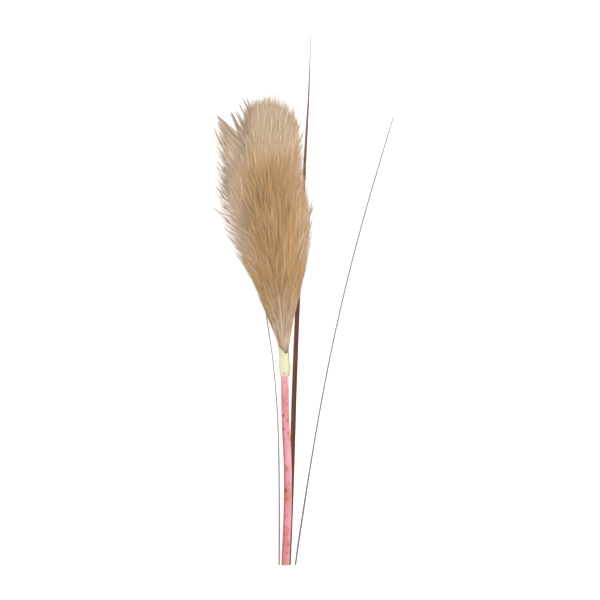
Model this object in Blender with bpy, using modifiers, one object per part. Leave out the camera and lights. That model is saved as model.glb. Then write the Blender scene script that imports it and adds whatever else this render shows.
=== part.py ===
"""A small bundle of cut pampas grass, lying on a table.

One flowering shoot, made of a pink culm, a pale flag sheath and a feathery plume, lies with three long
leaf blades. All the cut ends are level. Units are metres. The shoot runs along +Y, +X is to its right
when it is looked down on with the plume at the top, and +Z is up from the table.
"""

import bisect
import math
import random

import bmesh
import bpy
import numpy as np
from mathutils import Vector

# Lengths along the shoot, from the level cut ends
BUNDLE_LENGTH = 0.650
CULM_END = 0.2500
SHEATH_FOOT = 0.2320
PLUME_FOOT = 0.2507
PLUME_TOP = 0.575

# The shoot's own sizes
CULM_RADIUS = 0.00485
CULM_SIDES_STEP = 6
CULM_STATIONS = 26
SHEATH_WALL = 0.0007
SHEATH_CLEARANCE = 0.0003
SHEATH_LAP_GAP = 0.0004
LEAF_THICKNESS = 0.0007

# The sheath's roll in degrees: how far it turns, and where the outer lap starts to rise over the inner
SHEATH_TURN = 392
SHEATH_LIFT_FROM = 318

# The top edge of the sheath: (degrees round from the right over the top, distance along)
SHEATH_MOUTH = [
    (0, 0.2630),
    (60, 0.2606),
    (95, 0.2602),
    (135, 0.2655),
    (178, 0.2705),
    (230, 0.2690),
    (300, 0.2650),
    (392, 0.2625),
]

# How far the sheath swells away from the culm: (distance along, swelling)
SHEATH_BULGE = [(0.232, 0.0), (0.240, 0.0008), (0.250, 0.0006), (0.258, 0.0004), (0.2705, 0.0017)]

# Where the middle of the shoot runs: (distance along, place)
SHOOT_X = [
    (0.000, 0.0005),
    (0.080, 0.0034),
    (0.129, 0.0031),
    (0.178, 0.0007),
    (0.232, -0.0002),
    (0.262, -0.0003),
    (0.300, -0.0035),
    (0.344, -0.0085),
    (0.400, -0.0155),
    (0.450, -0.0200),
    (0.500, -0.0220),
    (0.600, -0.0225),
]
SHOOT_Z = [
    (0.000, 0.00485),
    (0.130, 0.0123),
    (0.262, 0.0200),
    (0.350, 0.0252),
    (0.430, 0.0285),
    (0.520, 0.0285),
    (0.600, 0.0260),
]

# How far the plume's hair reaches from the middle of the shoot: (distance along, reach)
PLUME_RIGHT = [
    (0.250, 0.0040),
    (0.262, 0.0042),
    (0.270, 0.0054),
    (0.282, 0.0094),
    (0.307, 0.0156),
    (0.332, 0.0225),
    (0.356, 0.0310),
    (0.381, 0.0405),
    (0.405, 0.0470),
    (0.430, 0.0520),
    (0.467, 0.0460),
    (0.491, 0.0425),
    (0.540, 0.0390),
    (0.562, 0.0300),
    (0.578, 0.0100),
]
PLUME_LEFT = [
    (0.250, 0.0040),
    (0.262, 0.0044),
    (0.270, 0.0062),
    (0.282, 0.0105),
    (0.307, 0.0190),
    (0.332, 0.0270),
    (0.356, 0.0360),
    (0.381, 0.0450),
    (0.405, 0.0520),
    (0.430, 0.0570),
    (0.467, 0.0580),
    (0.490, 0.0575),
    (0.512, 0.0510),
    (0.530, 0.0375),
    (0.545, 0.0310),
    (0.562, 0.0260),
    (0.578, 0.0100),
]
PLUME_ABOVE = [
    (0.250, 0.0040),
    (0.262, 0.0042),
    (0.270, 0.0054),
    (0.307, 0.0150),
    (0.356, 0.0280),
    (0.405, 0.0400),
    (0.450, 0.0450),
    (0.500, 0.0420),
    (0.540, 0.0340),
    (0.562, 0.0240),
    (0.578, 0.0080),
]
PLUME_BELOW = [
    (0.250, 0.0040),
    (0.262, 0.0042),
    (0.270, 0.0054),
    (0.307, 0.0150),
    (0.356, 0.0245),
    (0.405, 0.0285),
    (0.450, 0.0290),
    (0.500, 0.0280),
    (0.540, 0.0245),
    (0.562, 0.0180),
    (0.578, 0.0080),
]

# The dense middle of the plume, as a share of the hair's reach, with a flute along every second edge
CORE_SIDES = 36
CORE_RINGS = 20
CORE_TOP = 0.560
CORE_SHARE = [(0.250, 1.00), (0.290, 0.94), (0.360, 0.80), (0.510, 0.77), (0.545, 0.60), (0.560, 0.20)]
CORE_SHARE_BELOW = 0.78
CORE_RING_CROWDING = 1.3
FLUTE_DEPTH = 0.07

# The small flat spot under the plume that it rests on
REST_ALONG = 0.430
REST_HALF_LENGTH = 0.027
REST_SHARE = 1.25

# Tufts of hair that stand out of the core, placed by the golden angle
TUFTS = 355
TUFT_SEED = 11
TUFT_FROM = 0.268
TUFT_TO = 0.554
TUFT_LENGTH = (0.040, 0.056)
TUFT_HALF_WIDTH = 0.0028
TUFT_HALF_DEPTH = 0.0016
TUFT_TIP_SHARE = 0.16
TUFT_BENDS = 1
TUFT_ROOT_DEPTH = 0.84
TUFT_OVERSHOOT = (0.98, 1.08)
LEFT_FLARE = 0.006
RIGHT_FLARE = 0.002
TUFT_FLOOR = 0.0017
GOLDEN_ANGLE = math.pi * (3 - math.sqrt(5))

# Side sprays that part from the head: (root, tip, half width, tufts on it)
SIDE_SPRAYS = [
    ((-0.042, 0.462, 0.036), (-0.0825, 0.5500, 0.040), 0.0090, 15),
    ((-0.040, 0.500, 0.046), (-0.0655, 0.5555, 0.052), 0.0030, 3),
    ((-0.040, 0.515, 0.040), (-0.0550, 0.5660, 0.044), 0.0026, 3),
    ((0.006, 0.505, 0.044), (0.0165, 0.5560, 0.046), 0.0026, 2),
    ((0.012, 0.480, 0.034), (0.0225, 0.5440, 0.036), 0.0024, 2),
]
SPRAY_SEED = 3

# Leaf blades: (distance along, place across, width), each lying on the table with its keel up
DARK_BLADE = [
    (0.0000, 0.0054, 0.0032),
    (0.0553, 0.0066, 0.0050),
    (0.1044, 0.0081, 0.0060),
    (0.1536, 0.0095, 0.0068),
    (0.2027, 0.0109, 0.0068),
    (0.2715, 0.0134, 0.0066),
    (0.3256, 0.0157, 0.0062),
    (0.4116, 0.0205, 0.0050),
    (0.4915, 0.0243, 0.0038),
    (0.5406, 0.0270, 0.0030),
    (0.5775, 0.0291, 0.0023),
    (0.6205, 0.0306, 0.0015),
    (BUNDLE_LENGTH, 0.0316, 0.0008),
]
RIGHT_BLADE = [
    (0.0000, 0.0083, 0.0014),
    (0.0258, 0.0130, 0.0015),
    (0.0553, 0.0190, 0.0015),
    (0.0848, 0.0248, 0.0014),
    (0.1290, 0.0322, 0.0014),
    (0.2027, 0.0448, 0.0013),
    (0.2765, 0.0587, 0.0012),
    (0.3502, 0.0758, 0.0011),
    (0.4239, 0.0953, 0.0010),
    (0.4976, 0.1170, 0.0009),
    (0.5505, 0.1331, 0.0008),
]
LEFT_BLADE = [
    (0.0000, -0.0076, 0.0015),
    (0.0553, -0.0074, 0.0015),
    (0.1290, -0.0079, 0.0014),
    (0.1536, -0.0083, 0.0014),
    (0.2027, -0.0107, 0.0013),
    (0.2322, -0.0131, 0.0013),
    (0.2642, -0.0168, 0.0012),
    (0.2949, -0.0215, 0.0012),
    (0.3250, -0.0252, 0.0011),
    (0.3600, -0.0280, 0.0010),
    (0.4000, -0.0301, 0.0009),
    (0.4350, -0.0316, 0.0008),
]
KEEL_SHARE = 0.08

# Finishes: colour, roughness
PINK = ((0.86, 0.40, 0.42), 0.55)
CREAM = ((0.85, 0.80, 0.55), 0.60)
TAN = ((0.52, 0.36, 0.21), 0.85)
DARK_RED = ((0.19, 0.07, 0.05), 0.45)
MAUVE = ((0.36, 0.27, 0.25), 0.50)
PALE_STRAW = ((0.46, 0.40, 0.36), 0.55)


def curve_through(points):
    """A smooth function through (place, value) points, level past both ends."""
    places, values = np.array(points, float).T
    slopes = np.gradient(values, places)

    def value(place):
        place = min(max(place, places[0]), places[-1])
        i = min(bisect.bisect_right(places, place), len(places) - 1) - 1
        span = places[i + 1] - places[i]
        t = (place - places[i]) / span
        return float(
            values[i] * (1 + 2 * t) * (1 - t) ** 2
            + values[i + 1] * t * t * (3 - 2 * t)
            + slopes[i] * span * t * (1 - t) ** 2
            - slopes[i + 1] * span * t * t * (1 - t)
        )

    return value


shoot_x = curve_through(SHOOT_X)
shoot_z = curve_through(SHOOT_Z)
reach_right = curve_through(PLUME_RIGHT)
reach_left = curve_through(PLUME_LEFT)
reach_above = curve_through(PLUME_ABOVE)
reach_below = curve_through(PLUME_BELOW)
core_share = curve_through(CORE_SHARE)
sheath_mouth = curve_through(SHEATH_MOUTH)
sheath_bulge = curve_through(SHEATH_BULGE)


def clear_scene():
    """Empties the scene."""
    for obj in list(bpy.data.objects):
        bpy.data.objects.remove(obj)


def new_collection(name):
    """A collection of that name in the scene."""
    collection = bpy.data.collections.new(name)
    bpy.context.scene.collection.children.link(collection)
    return collection


def finish(name, colour_and_roughness):
    """A plain material for one kind of surface."""
    colour, roughness = colour_and_roughness
    material = bpy.data.materials.new(name)
    material.use_nodes = True
    shader = material.node_tree.nodes["Principled BSDF"]
    shader.inputs["Base Color"].default_value = (*colour, 1)
    shader.inputs["Roughness"].default_value = roughness
    shader.inputs["Metallic"].default_value = 0
    return material


def mesh_object(name, shape, collection, material=None):
    """The bmesh as a smooth shaded object in the collection."""
    mesh = bpy.data.meshes.new(name)
    shape.to_mesh(mesh)
    shape.free()
    mesh.shade_smooth()
    if material:
        mesh.materials.append(material)
    obj = bpy.data.objects.new(name, mesh)
    collection.objects.link(obj)
    return obj


def shoot_middle(along):
    """The point in the middle of the shoot at that distance along it."""
    return Vector((shoot_x(along), along, shoot_z(along)))


def culm(collection):
    """The round stalk, a tube along the middle of the shoot with both ends cut flat."""
    line = bpy.data.curves.new("culm", "CURVE")
    line.dimensions = "3D"
    line.bevel_depth = CULM_RADIUS
    line.bevel_resolution = CULM_SIDES_STEP
    line.use_fill_caps = True
    spline = line.splines.new("POLY")
    spline.points.add(CULM_STATIONS - 1)
    for i, point in enumerate(spline.points):
        point.co = (*shoot_middle(CULM_END * i / (CULM_STATIONS - 1)), 1)
    line.materials.append(finish("culm_pink", PINK))
    obj = bpy.data.objects.new("culm", line)
    collection.objects.link(obj)
    return obj


def flag_sheath(collection):
    """The pale sheath under the plume: a leaf base rolled once round the shoot, its mouth cut in a V."""
    turn = math.radians(SHEATH_TURN)
    lap = SHEATH_WALL + SHEATH_LAP_GAP
    shape = bmesh.new()
    bmesh.ops.create_grid(shape, x_segments=30, y_segments=9, size=1)
    for vert in shape.verts:
        angle = turn * (1 - vert.co.x) / 2
        top = sheath_mouth(math.degrees(angle))
        along = SHEATH_FOOT + (top - SHEATH_FOOT) * (1 + vert.co.y) / 2
        lifted = min(1.0, max(0.0, (math.degrees(angle) - SHEATH_LIFT_FROM) / (360 - SHEATH_LIFT_FROM)))
        out = CULM_RADIUS + SHEATH_CLEARANCE + sheath_bulge(along) + lap * lifted
        middle = shoot_middle(along)
        vert.co = (middle.x + out * math.cos(angle), along, middle.z + out * math.sin(angle))
    obj = mesh_object("flag_sheath", shape, collection, finish("sheath_cream", CREAM))
    wall = obj.modifiers.new("wall", "SOLIDIFY")
    wall.thickness = SHEATH_WALL
    wall.offset = 1
    return obj


def leaf_blade(name, stations, collection, material):
    """A long grass blade lying on the table, folded along its keel."""
    place_across = curve_through([(along, x) for along, x, _ in stations])
    width = curve_through([(along, w) for along, _, w in stations])
    shape = bmesh.new()
    bmesh.ops.create_grid(shape, x_segments=2, y_segments=3 * (len(stations) - 1), size=1)
    for vert in shape.verts:
        side = vert.co.x
        along = stations[-1][0] * (1 + vert.co.y) / 2
        x = place_across(along) + side * width(along) / 2
        vert.co = (x, along, KEEL_SHARE * width(along) * (1 - abs(side)))
    obj = mesh_object(name, shape, collection, material)
    thickness = obj.modifiers.new("thickness", "SOLIDIFY")
    thickness.thickness = LEAF_THICKNESS
    thickness.offset = 1
    return obj


def plume_place(along, angle, share):
    """A point of the plume, share of the way from the middle of the shoot to the hair's reach."""
    side = reach_right(along) if math.cos(angle) > 0 else reach_left(along)
    height = reach_above(along) if math.sin(angle) > 0 else reach_below(along)
    x = shoot_x(along) + side * share * math.cos(angle)
    z = shoot_z(along) + height * share * math.sin(angle)
    return Vector((x, along, z))


def plume_core(collection):
    """The dense fluted middle of the plume, from its neck in the sheath, with a flat spot underneath."""
    shape = bmesh.new()
    bmesh.ops.create_cone(shape, cap_ends=True, segments=CORE_SIDES, radius1=1, radius2=1, depth=1)
    lengthwise = [e for e in shape.edges if abs(e.verts[0].co.z - e.verts[1].co.z) > 0.5]
    bmesh.ops.subdivide_edges(shape, edges=lengthwise, cuts=CORE_RINGS - 1, use_grid_fill=True)
    for vert in shape.verts:
        angle = math.atan2(-vert.co.y, vert.co.x)
        along = CORE_TOP - (CORE_TOP - PLUME_FOOT) * (0.5 - vert.co.z) ** CORE_RING_CROWDING
        number = round(angle / (2 * math.pi / CORE_SIDES))
        grown = min(1.0, (along - PLUME_FOOT) / 0.06)
        below = max(0.0, -math.sin(angle))
        rest = below**36 * math.exp(-(((along - REST_ALONG) / REST_HALF_LENGTH) ** 4))
        share = core_share(along)
        share += max(0.0, CORE_SHARE_BELOW - share) * below**2
        share *= 1 - FLUTE_DEPTH * grown * (number % 2)
        share += (REST_SHARE - share) * rest
        place = plume_place(along, angle, share)
        vert.co = (place.x, place.y, max(place.z, 0.0))
    return mesh_object("plume", shape, collection, finish("plume_tan", TAN))


def unit_tuft():
    """One tuft of hair as a three-sided spike of unit size, its root at 0 and its tip at 1 along z."""
    shape = bmesh.new()
    bmesh.ops.create_cone(shape, cap_ends=True, segments=3, radius1=1, radius2=TUFT_TIP_SHARE, depth=1)
    lengthwise = [e for e in shape.edges if abs(e.verts[0].co.z - e.verts[1].co.z) > 0.5]
    bmesh.ops.subdivide_edges(shape, edges=lengthwise, cuts=TUFT_BENDS, use_grid_fill=True)
    for vert in shape.verts:
        vert.co.z += 0.5
        fuller = 1 + 0.5 * math.sin(math.pi * vert.co.z) * (1 - vert.co.z)
        vert.co.x *= fuller
        vert.co.y *= fuller
    return shape


def bend_tuft(path, out, half_width, half_depth, name, collection):
    """A unit tuft laid along the path, a function of 0 to 1, with its flat side facing out."""
    shape = unit_tuft()
    root, tip = path(0), path(1)
    heading = (tip - root).normalized()
    side = out.cross(heading).normalized()
    outward = heading.cross(side)
    for vert in shape.verts:
        vert.co = path(vert.co.z) + side * vert.co.x * half_width + outward * vert.co.y * half_depth
    return mesh_object(name, shape, collection)


def head_tufts(collection):
    """The tufts all round the plume, each rooted in the core and ending on the plume's outline."""
    draw = random.Random(TUFT_SEED)
    for i in range(TUFTS):
        grown = (i + 0.5) / TUFTS
        start = TUFT_FROM + (TUFT_TO - TUFT_FROM) * grown**0.92
        angle = (i * GOLDEN_ANGLE) % (2 * math.pi)
        length = draw.uniform(*TUFT_LENGTH) * (0.45 + 0.55 * min(1.0, grown * 4))
        reach = draw.uniform(*TUFT_OVERSHOOT)
        turn = draw.uniform(-0.10, 0.10)
        floor = TUFT_FLOOR + draw.uniform(0, 0.001)
        root_share = core_share(start) * TUFT_ROOT_DEPTH
        left = max(0.0, -math.cos(angle))
        flare = (LEFT_FLARE * left + RIGHT_FLARE * (1 - left)) * min(1.0, 1.6 * grown)
        length = min(length, PLUME_TOP + draw.uniform(-0.010, 0.005) - start)

        def path(t):
            share = root_share + (reach - root_share) * t
            place = plume_place(start + length * t, angle + turn * t, share)
            place.x += math.copysign(flare, math.cos(angle)) * t * t
            place.z = max(place.z, floor)
            return place

        out = Vector((math.cos(angle), 0, math.sin(angle)))
        size = 0.45 + 0.55 * min(1.0, grown * 4)
        bend_tuft(path, out, TUFT_HALF_WIDTH * size, TUFT_HALF_DEPTH * size, f"tuft_{i}", collection)


def straight(root, tip):
    """A straight path from the root to the tip."""
    return lambda t: root.lerp(tip, t)


def side_spray(number, root, tip, half_width, tufts, collection):
    """A spray that parts from the head: one stout spike with smaller tufts along it."""
    draw = random.Random(SPRAY_SEED + number)
    root, tip = Vector(root), Vector(tip)
    up = Vector((0, 0, 1))
    bend_tuft(straight(root, tip), up, half_width, half_width * 0.9, f"spray_{number}", collection)
    heading = (tip - root).normalized()
    side = heading.cross(up).normalized()
    for i in range(tufts):
        angle = i * GOLDEN_ANGLE
        begin = 0.25 + 0.55 * (i + 0.5) / tufts
        out = side * math.cos(angle) + up * math.sin(angle)
        foot = root.lerp(tip, begin) + out * half_width * 0.3
        reach = (tip - root).length * draw.uniform(0.26, 0.38)
        end = foot + heading * reach + out * half_width * draw.uniform(0.7, 1.0)
        name = f"spray_{number}_{i}"
        bend_tuft(straight(foot, end), out, half_width * 0.30, half_width * 0.22, name, collection)


def fuse(obj, repeats):
    """Joins every object of the collection to obj by one Boolean union, and removes them."""
    union = obj.modifiers.new("fuse", "BOOLEAN")
    union.operation = "UNION"
    union.operand_type = "COLLECTION"
    union.collection = repeats
    fused = bpy.data.meshes.new_from_object(obj.evaluated_get(bpy.context.evaluated_depsgraph_get()))
    obj.modifiers.remove(union)
    obj.data = fused
    for repeat in list(repeats.objects):
        bpy.data.objects.remove(repeat)
    bpy.data.collections.remove(repeats)


def plume(collection):
    """The whole flower head as one solid: the core, its tufts and its side sprays."""
    head = plume_core(collection)
    repeats = new_collection("tufts")
    head_tufts(repeats)
    for number, (root, tip, half_width, tufts) in enumerate(SIDE_SPRAYS):
        side_spray(number, root, tip, half_width, tufts, repeats)
    fuse(head, repeats)
    return head


def centre_on_box(objects):
    """Moves everything so that the middle of the bundle's box, on the table, is the origin."""
    bpy.context.view_layer.update()
    corners = [obj.matrix_world @ Vector(corner) for obj in objects for corner in obj.bound_box]
    low = Vector([min(c[i] for c in corners) for i in range(3)])
    high = Vector([max(c[i] for c in corners) for i in range(3)])
    middle = (low + high) / 2
    for obj in objects:
        obj.location -= Vector((middle.x, middle.y, low.z))


def main():
    clear_scene()
    bundle = new_collection("pampas_grass_bundle")
    parts = [
        culm(bundle),
        flag_sheath(bundle),
        plume(bundle),
        leaf_blade("dark_leaf_blade", DARK_BLADE, bundle, finish("leaf_dark_red", DARK_RED)),
        leaf_blade("right_leaf_blade", RIGHT_BLADE, bundle, finish("leaf_mauve", MAUVE)),
        leaf_blade("left_leaf_blade", LEFT_BLADE, bundle, finish("leaf_straw", PALE_STRAW)),
    ]
    centre_on_box(parts)


main()
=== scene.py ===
# %% [markdown]
# # Pampas grass, cut and laid on a table
#
# The real thing is one flowering shoot with three loose leaf blades beside it. The shoot is a pink culm,
# a pale sheath that wraps the top of the culm, and a big silky plume. The measured model gives the place
# and size of each of these six pieces. This lesson replaces every one of them with a finer piece in the
# same place: over a hundred thousand hairs for the plume, a rolled leaf base for the sheath, a round
# stalk with a cut end, and folded blades with ribs.

import math

import bpy
import numpy as np
from mathutils import Matrix, Vector


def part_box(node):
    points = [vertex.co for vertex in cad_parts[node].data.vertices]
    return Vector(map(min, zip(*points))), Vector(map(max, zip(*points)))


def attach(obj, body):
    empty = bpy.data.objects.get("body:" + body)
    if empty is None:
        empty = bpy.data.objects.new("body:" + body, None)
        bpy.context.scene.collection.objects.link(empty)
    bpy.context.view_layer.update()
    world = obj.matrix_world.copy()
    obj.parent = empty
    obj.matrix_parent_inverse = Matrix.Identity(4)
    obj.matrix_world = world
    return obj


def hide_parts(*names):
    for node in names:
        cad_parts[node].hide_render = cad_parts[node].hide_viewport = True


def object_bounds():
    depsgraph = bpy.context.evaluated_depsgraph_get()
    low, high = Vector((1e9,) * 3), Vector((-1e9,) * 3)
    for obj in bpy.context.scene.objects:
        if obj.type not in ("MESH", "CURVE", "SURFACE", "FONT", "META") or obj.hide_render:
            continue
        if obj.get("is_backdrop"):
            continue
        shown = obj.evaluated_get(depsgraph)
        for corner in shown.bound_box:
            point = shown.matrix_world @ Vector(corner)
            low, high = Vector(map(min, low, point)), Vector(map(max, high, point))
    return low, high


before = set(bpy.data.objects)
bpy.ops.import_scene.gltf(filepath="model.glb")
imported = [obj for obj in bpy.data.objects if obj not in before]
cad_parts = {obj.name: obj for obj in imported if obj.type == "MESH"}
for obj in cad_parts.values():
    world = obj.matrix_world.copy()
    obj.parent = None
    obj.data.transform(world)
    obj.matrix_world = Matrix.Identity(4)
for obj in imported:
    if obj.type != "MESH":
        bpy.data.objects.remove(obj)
CAD_BOX = [list(corner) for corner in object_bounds()]
print("Nodes:", sorted(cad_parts), "box:", CAD_BOX)

# %% [markdown]
# ## One set of lines for everything
#
# Every piece follows the middle line of the shoot, so that line comes first. It is a list of a few
# points with a smooth curve through them, and so are the widths of the plume. All lengths are in metres
# from the level cut ends, with X to the right and Z up from the table. That is how a maker would measure
# the bundle on a bench. The measured model has its origin somewhere else, so each finished mesh is moved
# there once, by a shift that is read off the model's own culm and longest blade.

# %% The middle of the shoot, and the bench's place in the model
# Distance along, and where the shoot's middle is across (X) and above the table (Z).
SHOOT_X = [
    (0.000, 0.0005), (0.080, 0.0034), (0.129, 0.0031), (0.178, 0.0007), (0.232, -0.0003),
    (0.262, -0.0009), (0.300, -0.0035), (0.344, -0.0085), (0.400, -0.0155), (0.450, -0.0200),
    (0.500, -0.0220), (0.600, -0.0225),
]
SHOOT_Z = [
    (0.000, 0.00485), (0.130, 0.0123), (0.262, 0.0200), (0.350, 0.0252), (0.430, 0.0285), (0.520, 0.0285),
    (0.600, 0.0260),
]


def curve_through(points):
    """A smooth function through (place, value) points, level past both ends. It takes arrays."""
    places, values = np.array(points, float).T
    slopes = np.gradient(values, places)

    def value(place):
        place = np.clip(place, places[0], places[-1])
        i = np.clip(np.searchsorted(places, place, side="right") - 1, 0, len(places) - 2)
        span = places[i + 1] - places[i]
        t = (place - places[i]) / span
        start = values[i] * (1 + 2 * t) * (1 - t) ** 2 + slopes[i] * span * t * (1 - t) ** 2
        end = values[i + 1] * t * t * (3 - 2 * t) - slopes[i + 1] * span * t * t * (1 - t)
        return start + end

    return value


def smooth_step(low, high, value):
    """0 below low, 1 above high, and an S-shaped rise between them."""
    t = np.clip((value - low) / (high - low), 0, 1)
    return t * t * (3 - 2 * t)


shoot_x = curve_through(SHOOT_X)
shoot_z = curve_through(SHOOT_Z)

FOOT_SLICE = 0.0006
culm_points = np.array([v.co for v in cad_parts["culm"].data.vertices])
foot = culm_points[culm_points[:, 1] < culm_points[:, 1].min() + FOOT_SLICE]
BENCH = Vector(((foot[:, 0].min() + foot[:, 0].max()) / 2 - SHOOT_X[0][1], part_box("dark_leaf_blade")[0].y, 0))
print("The bench's zero is at", [round(v, 5) for v in BENCH], "in the model")

# %% [markdown]
# ## Helpers for modelling by hand
#
# The pieces are made as by hand: a primitive, then edit mode. Operators act on all that is selected, so
# one helper leaves only one object selected and another picks the vertices that pass a test. Thin sheets
# and cut ends have sharp edges that catch no light, so one helper bevels them a little. The last helper
# moves a finished mesh to its place in the model, gives it its finish and hides the node it replaces.

# %% Selecting and finishing
def leave_edit_mode():
    """Goes back to object mode."""
    if bpy.context.mode != "OBJECT":
        bpy.ops.object.mode_set(mode="OBJECT")


def only(obj):
    """Selects that object alone and makes it the active one."""
    leave_edit_mode()
    bpy.ops.object.select_all(action="DESELECT")
    obj.select_set(True)
    bpy.context.view_layer.objects.active = obj


def pick(obj, wanted, kind="VERT"):
    """Goes to edit mode with only the vertices, edges or faces selected whose centre passes the test."""
    only(obj)
    bpy.ops.object.mode_set(mode="EDIT")
    bpy.ops.mesh.select_mode(type=kind)
    bpy.ops.mesh.select_all(action="DESELECT")
    bpy.ops.object.mode_set(mode="OBJECT")
    points = [v.co for v in obj.data.vertices]
    items = {"VERT": obj.data.vertices, "EDGE": obj.data.edges, "FACE": obj.data.polygons}[kind]
    for item in items:
        ids = [item.index] if kind == "VERT" else item.vertices
        item.select = bool(wanted(sum((points[i] for i in ids), Vector()) / len(ids)))
    bpy.ops.object.mode_set(mode="EDIT")


def apply_all(obj):
    """Applies the object's place and every modifier on it."""
    only(obj)
    bpy.ops.object.transform_apply(location=True, rotation=True, scale=True)
    for modifier in list(obj.modifiers):
        bpy.ops.object.modifier_apply(modifier=modifier.name)


def newest(name):
    """The object that the last operator made, with its name."""
    obj = bpy.context.object
    obj.name = obj.data.name = name
    return obj


def soften_edges(obj, width, segments, sharp, smooth):
    """Bevels the sharp edges, applies all, and shades smooth where faces turn by less than smooth degrees."""
    edge = obj.modifiers.new("edge", "BEVEL")
    edge.width = width
    edge.segments = segments
    edge.limit_method = "ANGLE"
    edge.angle_limit = math.radians(sharp)
    apply_all(obj)
    bpy.ops.object.shade_smooth_by_angle(angle=math.radians(smooth))


def thicken(obj, thickness):
    """Gives a sheet its thickness, on its outer side."""
    wall = obj.modifiers.new("wall", "SOLIDIFY")
    wall.thickness = thickness
    wall.offset = 1


def finish_piece(obj, node, material):
    """Moves the mesh from the bench to the model, gives it its finish and hides the model's node that it
    replaces.
    """
    obj.data.transform(Matrix.Translation(BENCH))
    obj.data.materials.clear()
    obj.data.materials.append(material)
    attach(obj, "root")
    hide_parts(node)
    faces = sum(len(p.vertices) - 2 for p in obj.data.polygons)
    print(f"{obj.name}: {faces} triangles, {[round(1000 * size, 1) for size in obj.dimensions]} mm")


# %% [markdown]
# ## Helpers for finishes
#
# A finish is a material made of nodes. These helpers place a node with its settings and join sockets.
# Colours are written as the eye sees them on the lit piece. A surface's own colour is darker than that,
# because the studio light makes a white card brighter than white, so each colour is divided by the card's
# brightness. Patterns that lie on a piece read object coordinates, moved back to the bench, or the piece's
# own map.

# %% Building node trees
CARD_BRIGHTNESS = 1.55


def colour(code, card=CARD_BRIGHTNESS):
    """The surface colour that looks like the hex code where a white card is that bright."""
    parts = [int(code[i : i + 2], 16) / 255 for i in (0, 2, 4)]
    linear = [c / 12.92 if c <= 0.04045 else ((c + 0.055) / 1.055) ** 2.4 for c in parts]
    return (*[min(0.95, c / card) for c in linear], 1)


def place_node(tree, kind, inputs=None, **settings):
    """A new node of that kind. inputs are values, or output sockets to link, by socket name or number."""
    node = tree.nodes.new(kind)
    for name, value in settings.items():
        setattr(node, name, value)
    for name, value in (inputs or {}).items():
        if isinstance(value, bpy.types.NodeSocket):
            tree.links.new(value, node.inputs[name])
        else:
            node.inputs[name].default_value = value
    return node


def blend_colours(tree, factor, below, above, mode="MIX"):
    """Lays one colour over another by a factor, and returns the colour socket."""
    inputs = {0: factor, 6: below, 7: above}
    return place_node(tree, "ShaderNodeMix", inputs, data_type="RGBA", blend_type=mode).outputs[2]


def calculate(tree, operation, first, second=0.0, third=0.0):
    """A sum on numbers, and its result."""
    settings = {0: first, 1: second, 2: third}
    return place_node(tree, "ShaderNodeMath", settings, operation=operation).outputs[0]


def wash(tree, shade, mask, strength, over):
    """Lays a colour over another where the mask is, at that strength."""
    return blend_colours(tree, calculate(tree, "MULTIPLY", mask, strength), shade, over)


def fade(tree, value, low, high):
    """0 where the value is low, 1 where it is high, and smooth between them."""
    inputs = {"Value": value, "From Min": low, "From Max": high}
    node = place_node(tree, "ShaderNodeMapRange", inputs, interpolation_type="SMOOTHSTEP")
    return node.outputs["Result"]


# %% Patterns, and the coordinates they read
def noise(tree, vector, scale, detail):
    """A soft random pattern."""
    inputs = {"Vector": vector, "Scale": scale, "Detail": detail}
    return place_node(tree, "ShaderNodeTexNoise", inputs).outputs["Fac"]


def split(tree, vector):
    """A vector's three numbers, by the names X, Y and Z."""
    return place_node(tree, "ShaderNodeSeparateXYZ", {0: vector}).outputs


def colour_ramp(tree, factor, stops, card=CARD_BRIGHTNESS):
    """A colour that changes along a factor. stops are (place, hex code) pairs."""
    ramp = place_node(tree, "ShaderNodeValToRGB", {0: factor})
    elements = ramp.color_ramp.elements
    while len(elements) < len(stops):
        elements.new(1)
    for element, (position, code) in zip(elements, stops):
        element.position = position
        element.color = colour(code, card)
    return ramp.outputs["Color"]


def new_finish(name, roughness, specular=0.5):
    """A material whose surface is ready, and returns it with its node tree and its shader."""
    material = bpy.data.materials.new(name)
    material.use_nodes = True
    tree = material.node_tree
    shader = tree.nodes["Principled BSDF"]
    shader.inputs["Roughness"].default_value = roughness
    shader.inputs["Specular IOR Level"].default_value = specular
    return material, tree, shader


def bench_coordinates(tree):
    """Object coordinates moved so that they count from the bench's zero, in metres."""
    place = place_node(tree, "ShaderNodeTexCoord").outputs["Object"]
    inputs = {"Vector": place, "Location": -BENCH}
    return place_node(tree, "ShaderNodeMapping", inputs).outputs["Vector"]


def own_map(tree, name):
    """The piece's own map: its vector, and its two coordinates alone."""
    vector = place_node(tree, "ShaderNodeUVMap", uv_map=name).outputs["UV"]
    parts = split(tree, vector)
    return vector, parts["X"], parts["Y"]


# %% [markdown]
# ## Grain that every dry leaf and stalk shares
#
# Grass has parallel fibres. On the real pieces they show as fine lines along the length, in colour and
# as tiny ridges. Three finishes need them, so they are one node group: noise that is stretched along the
# length, with its two scales as inputs, giving a mask and a height.

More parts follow.
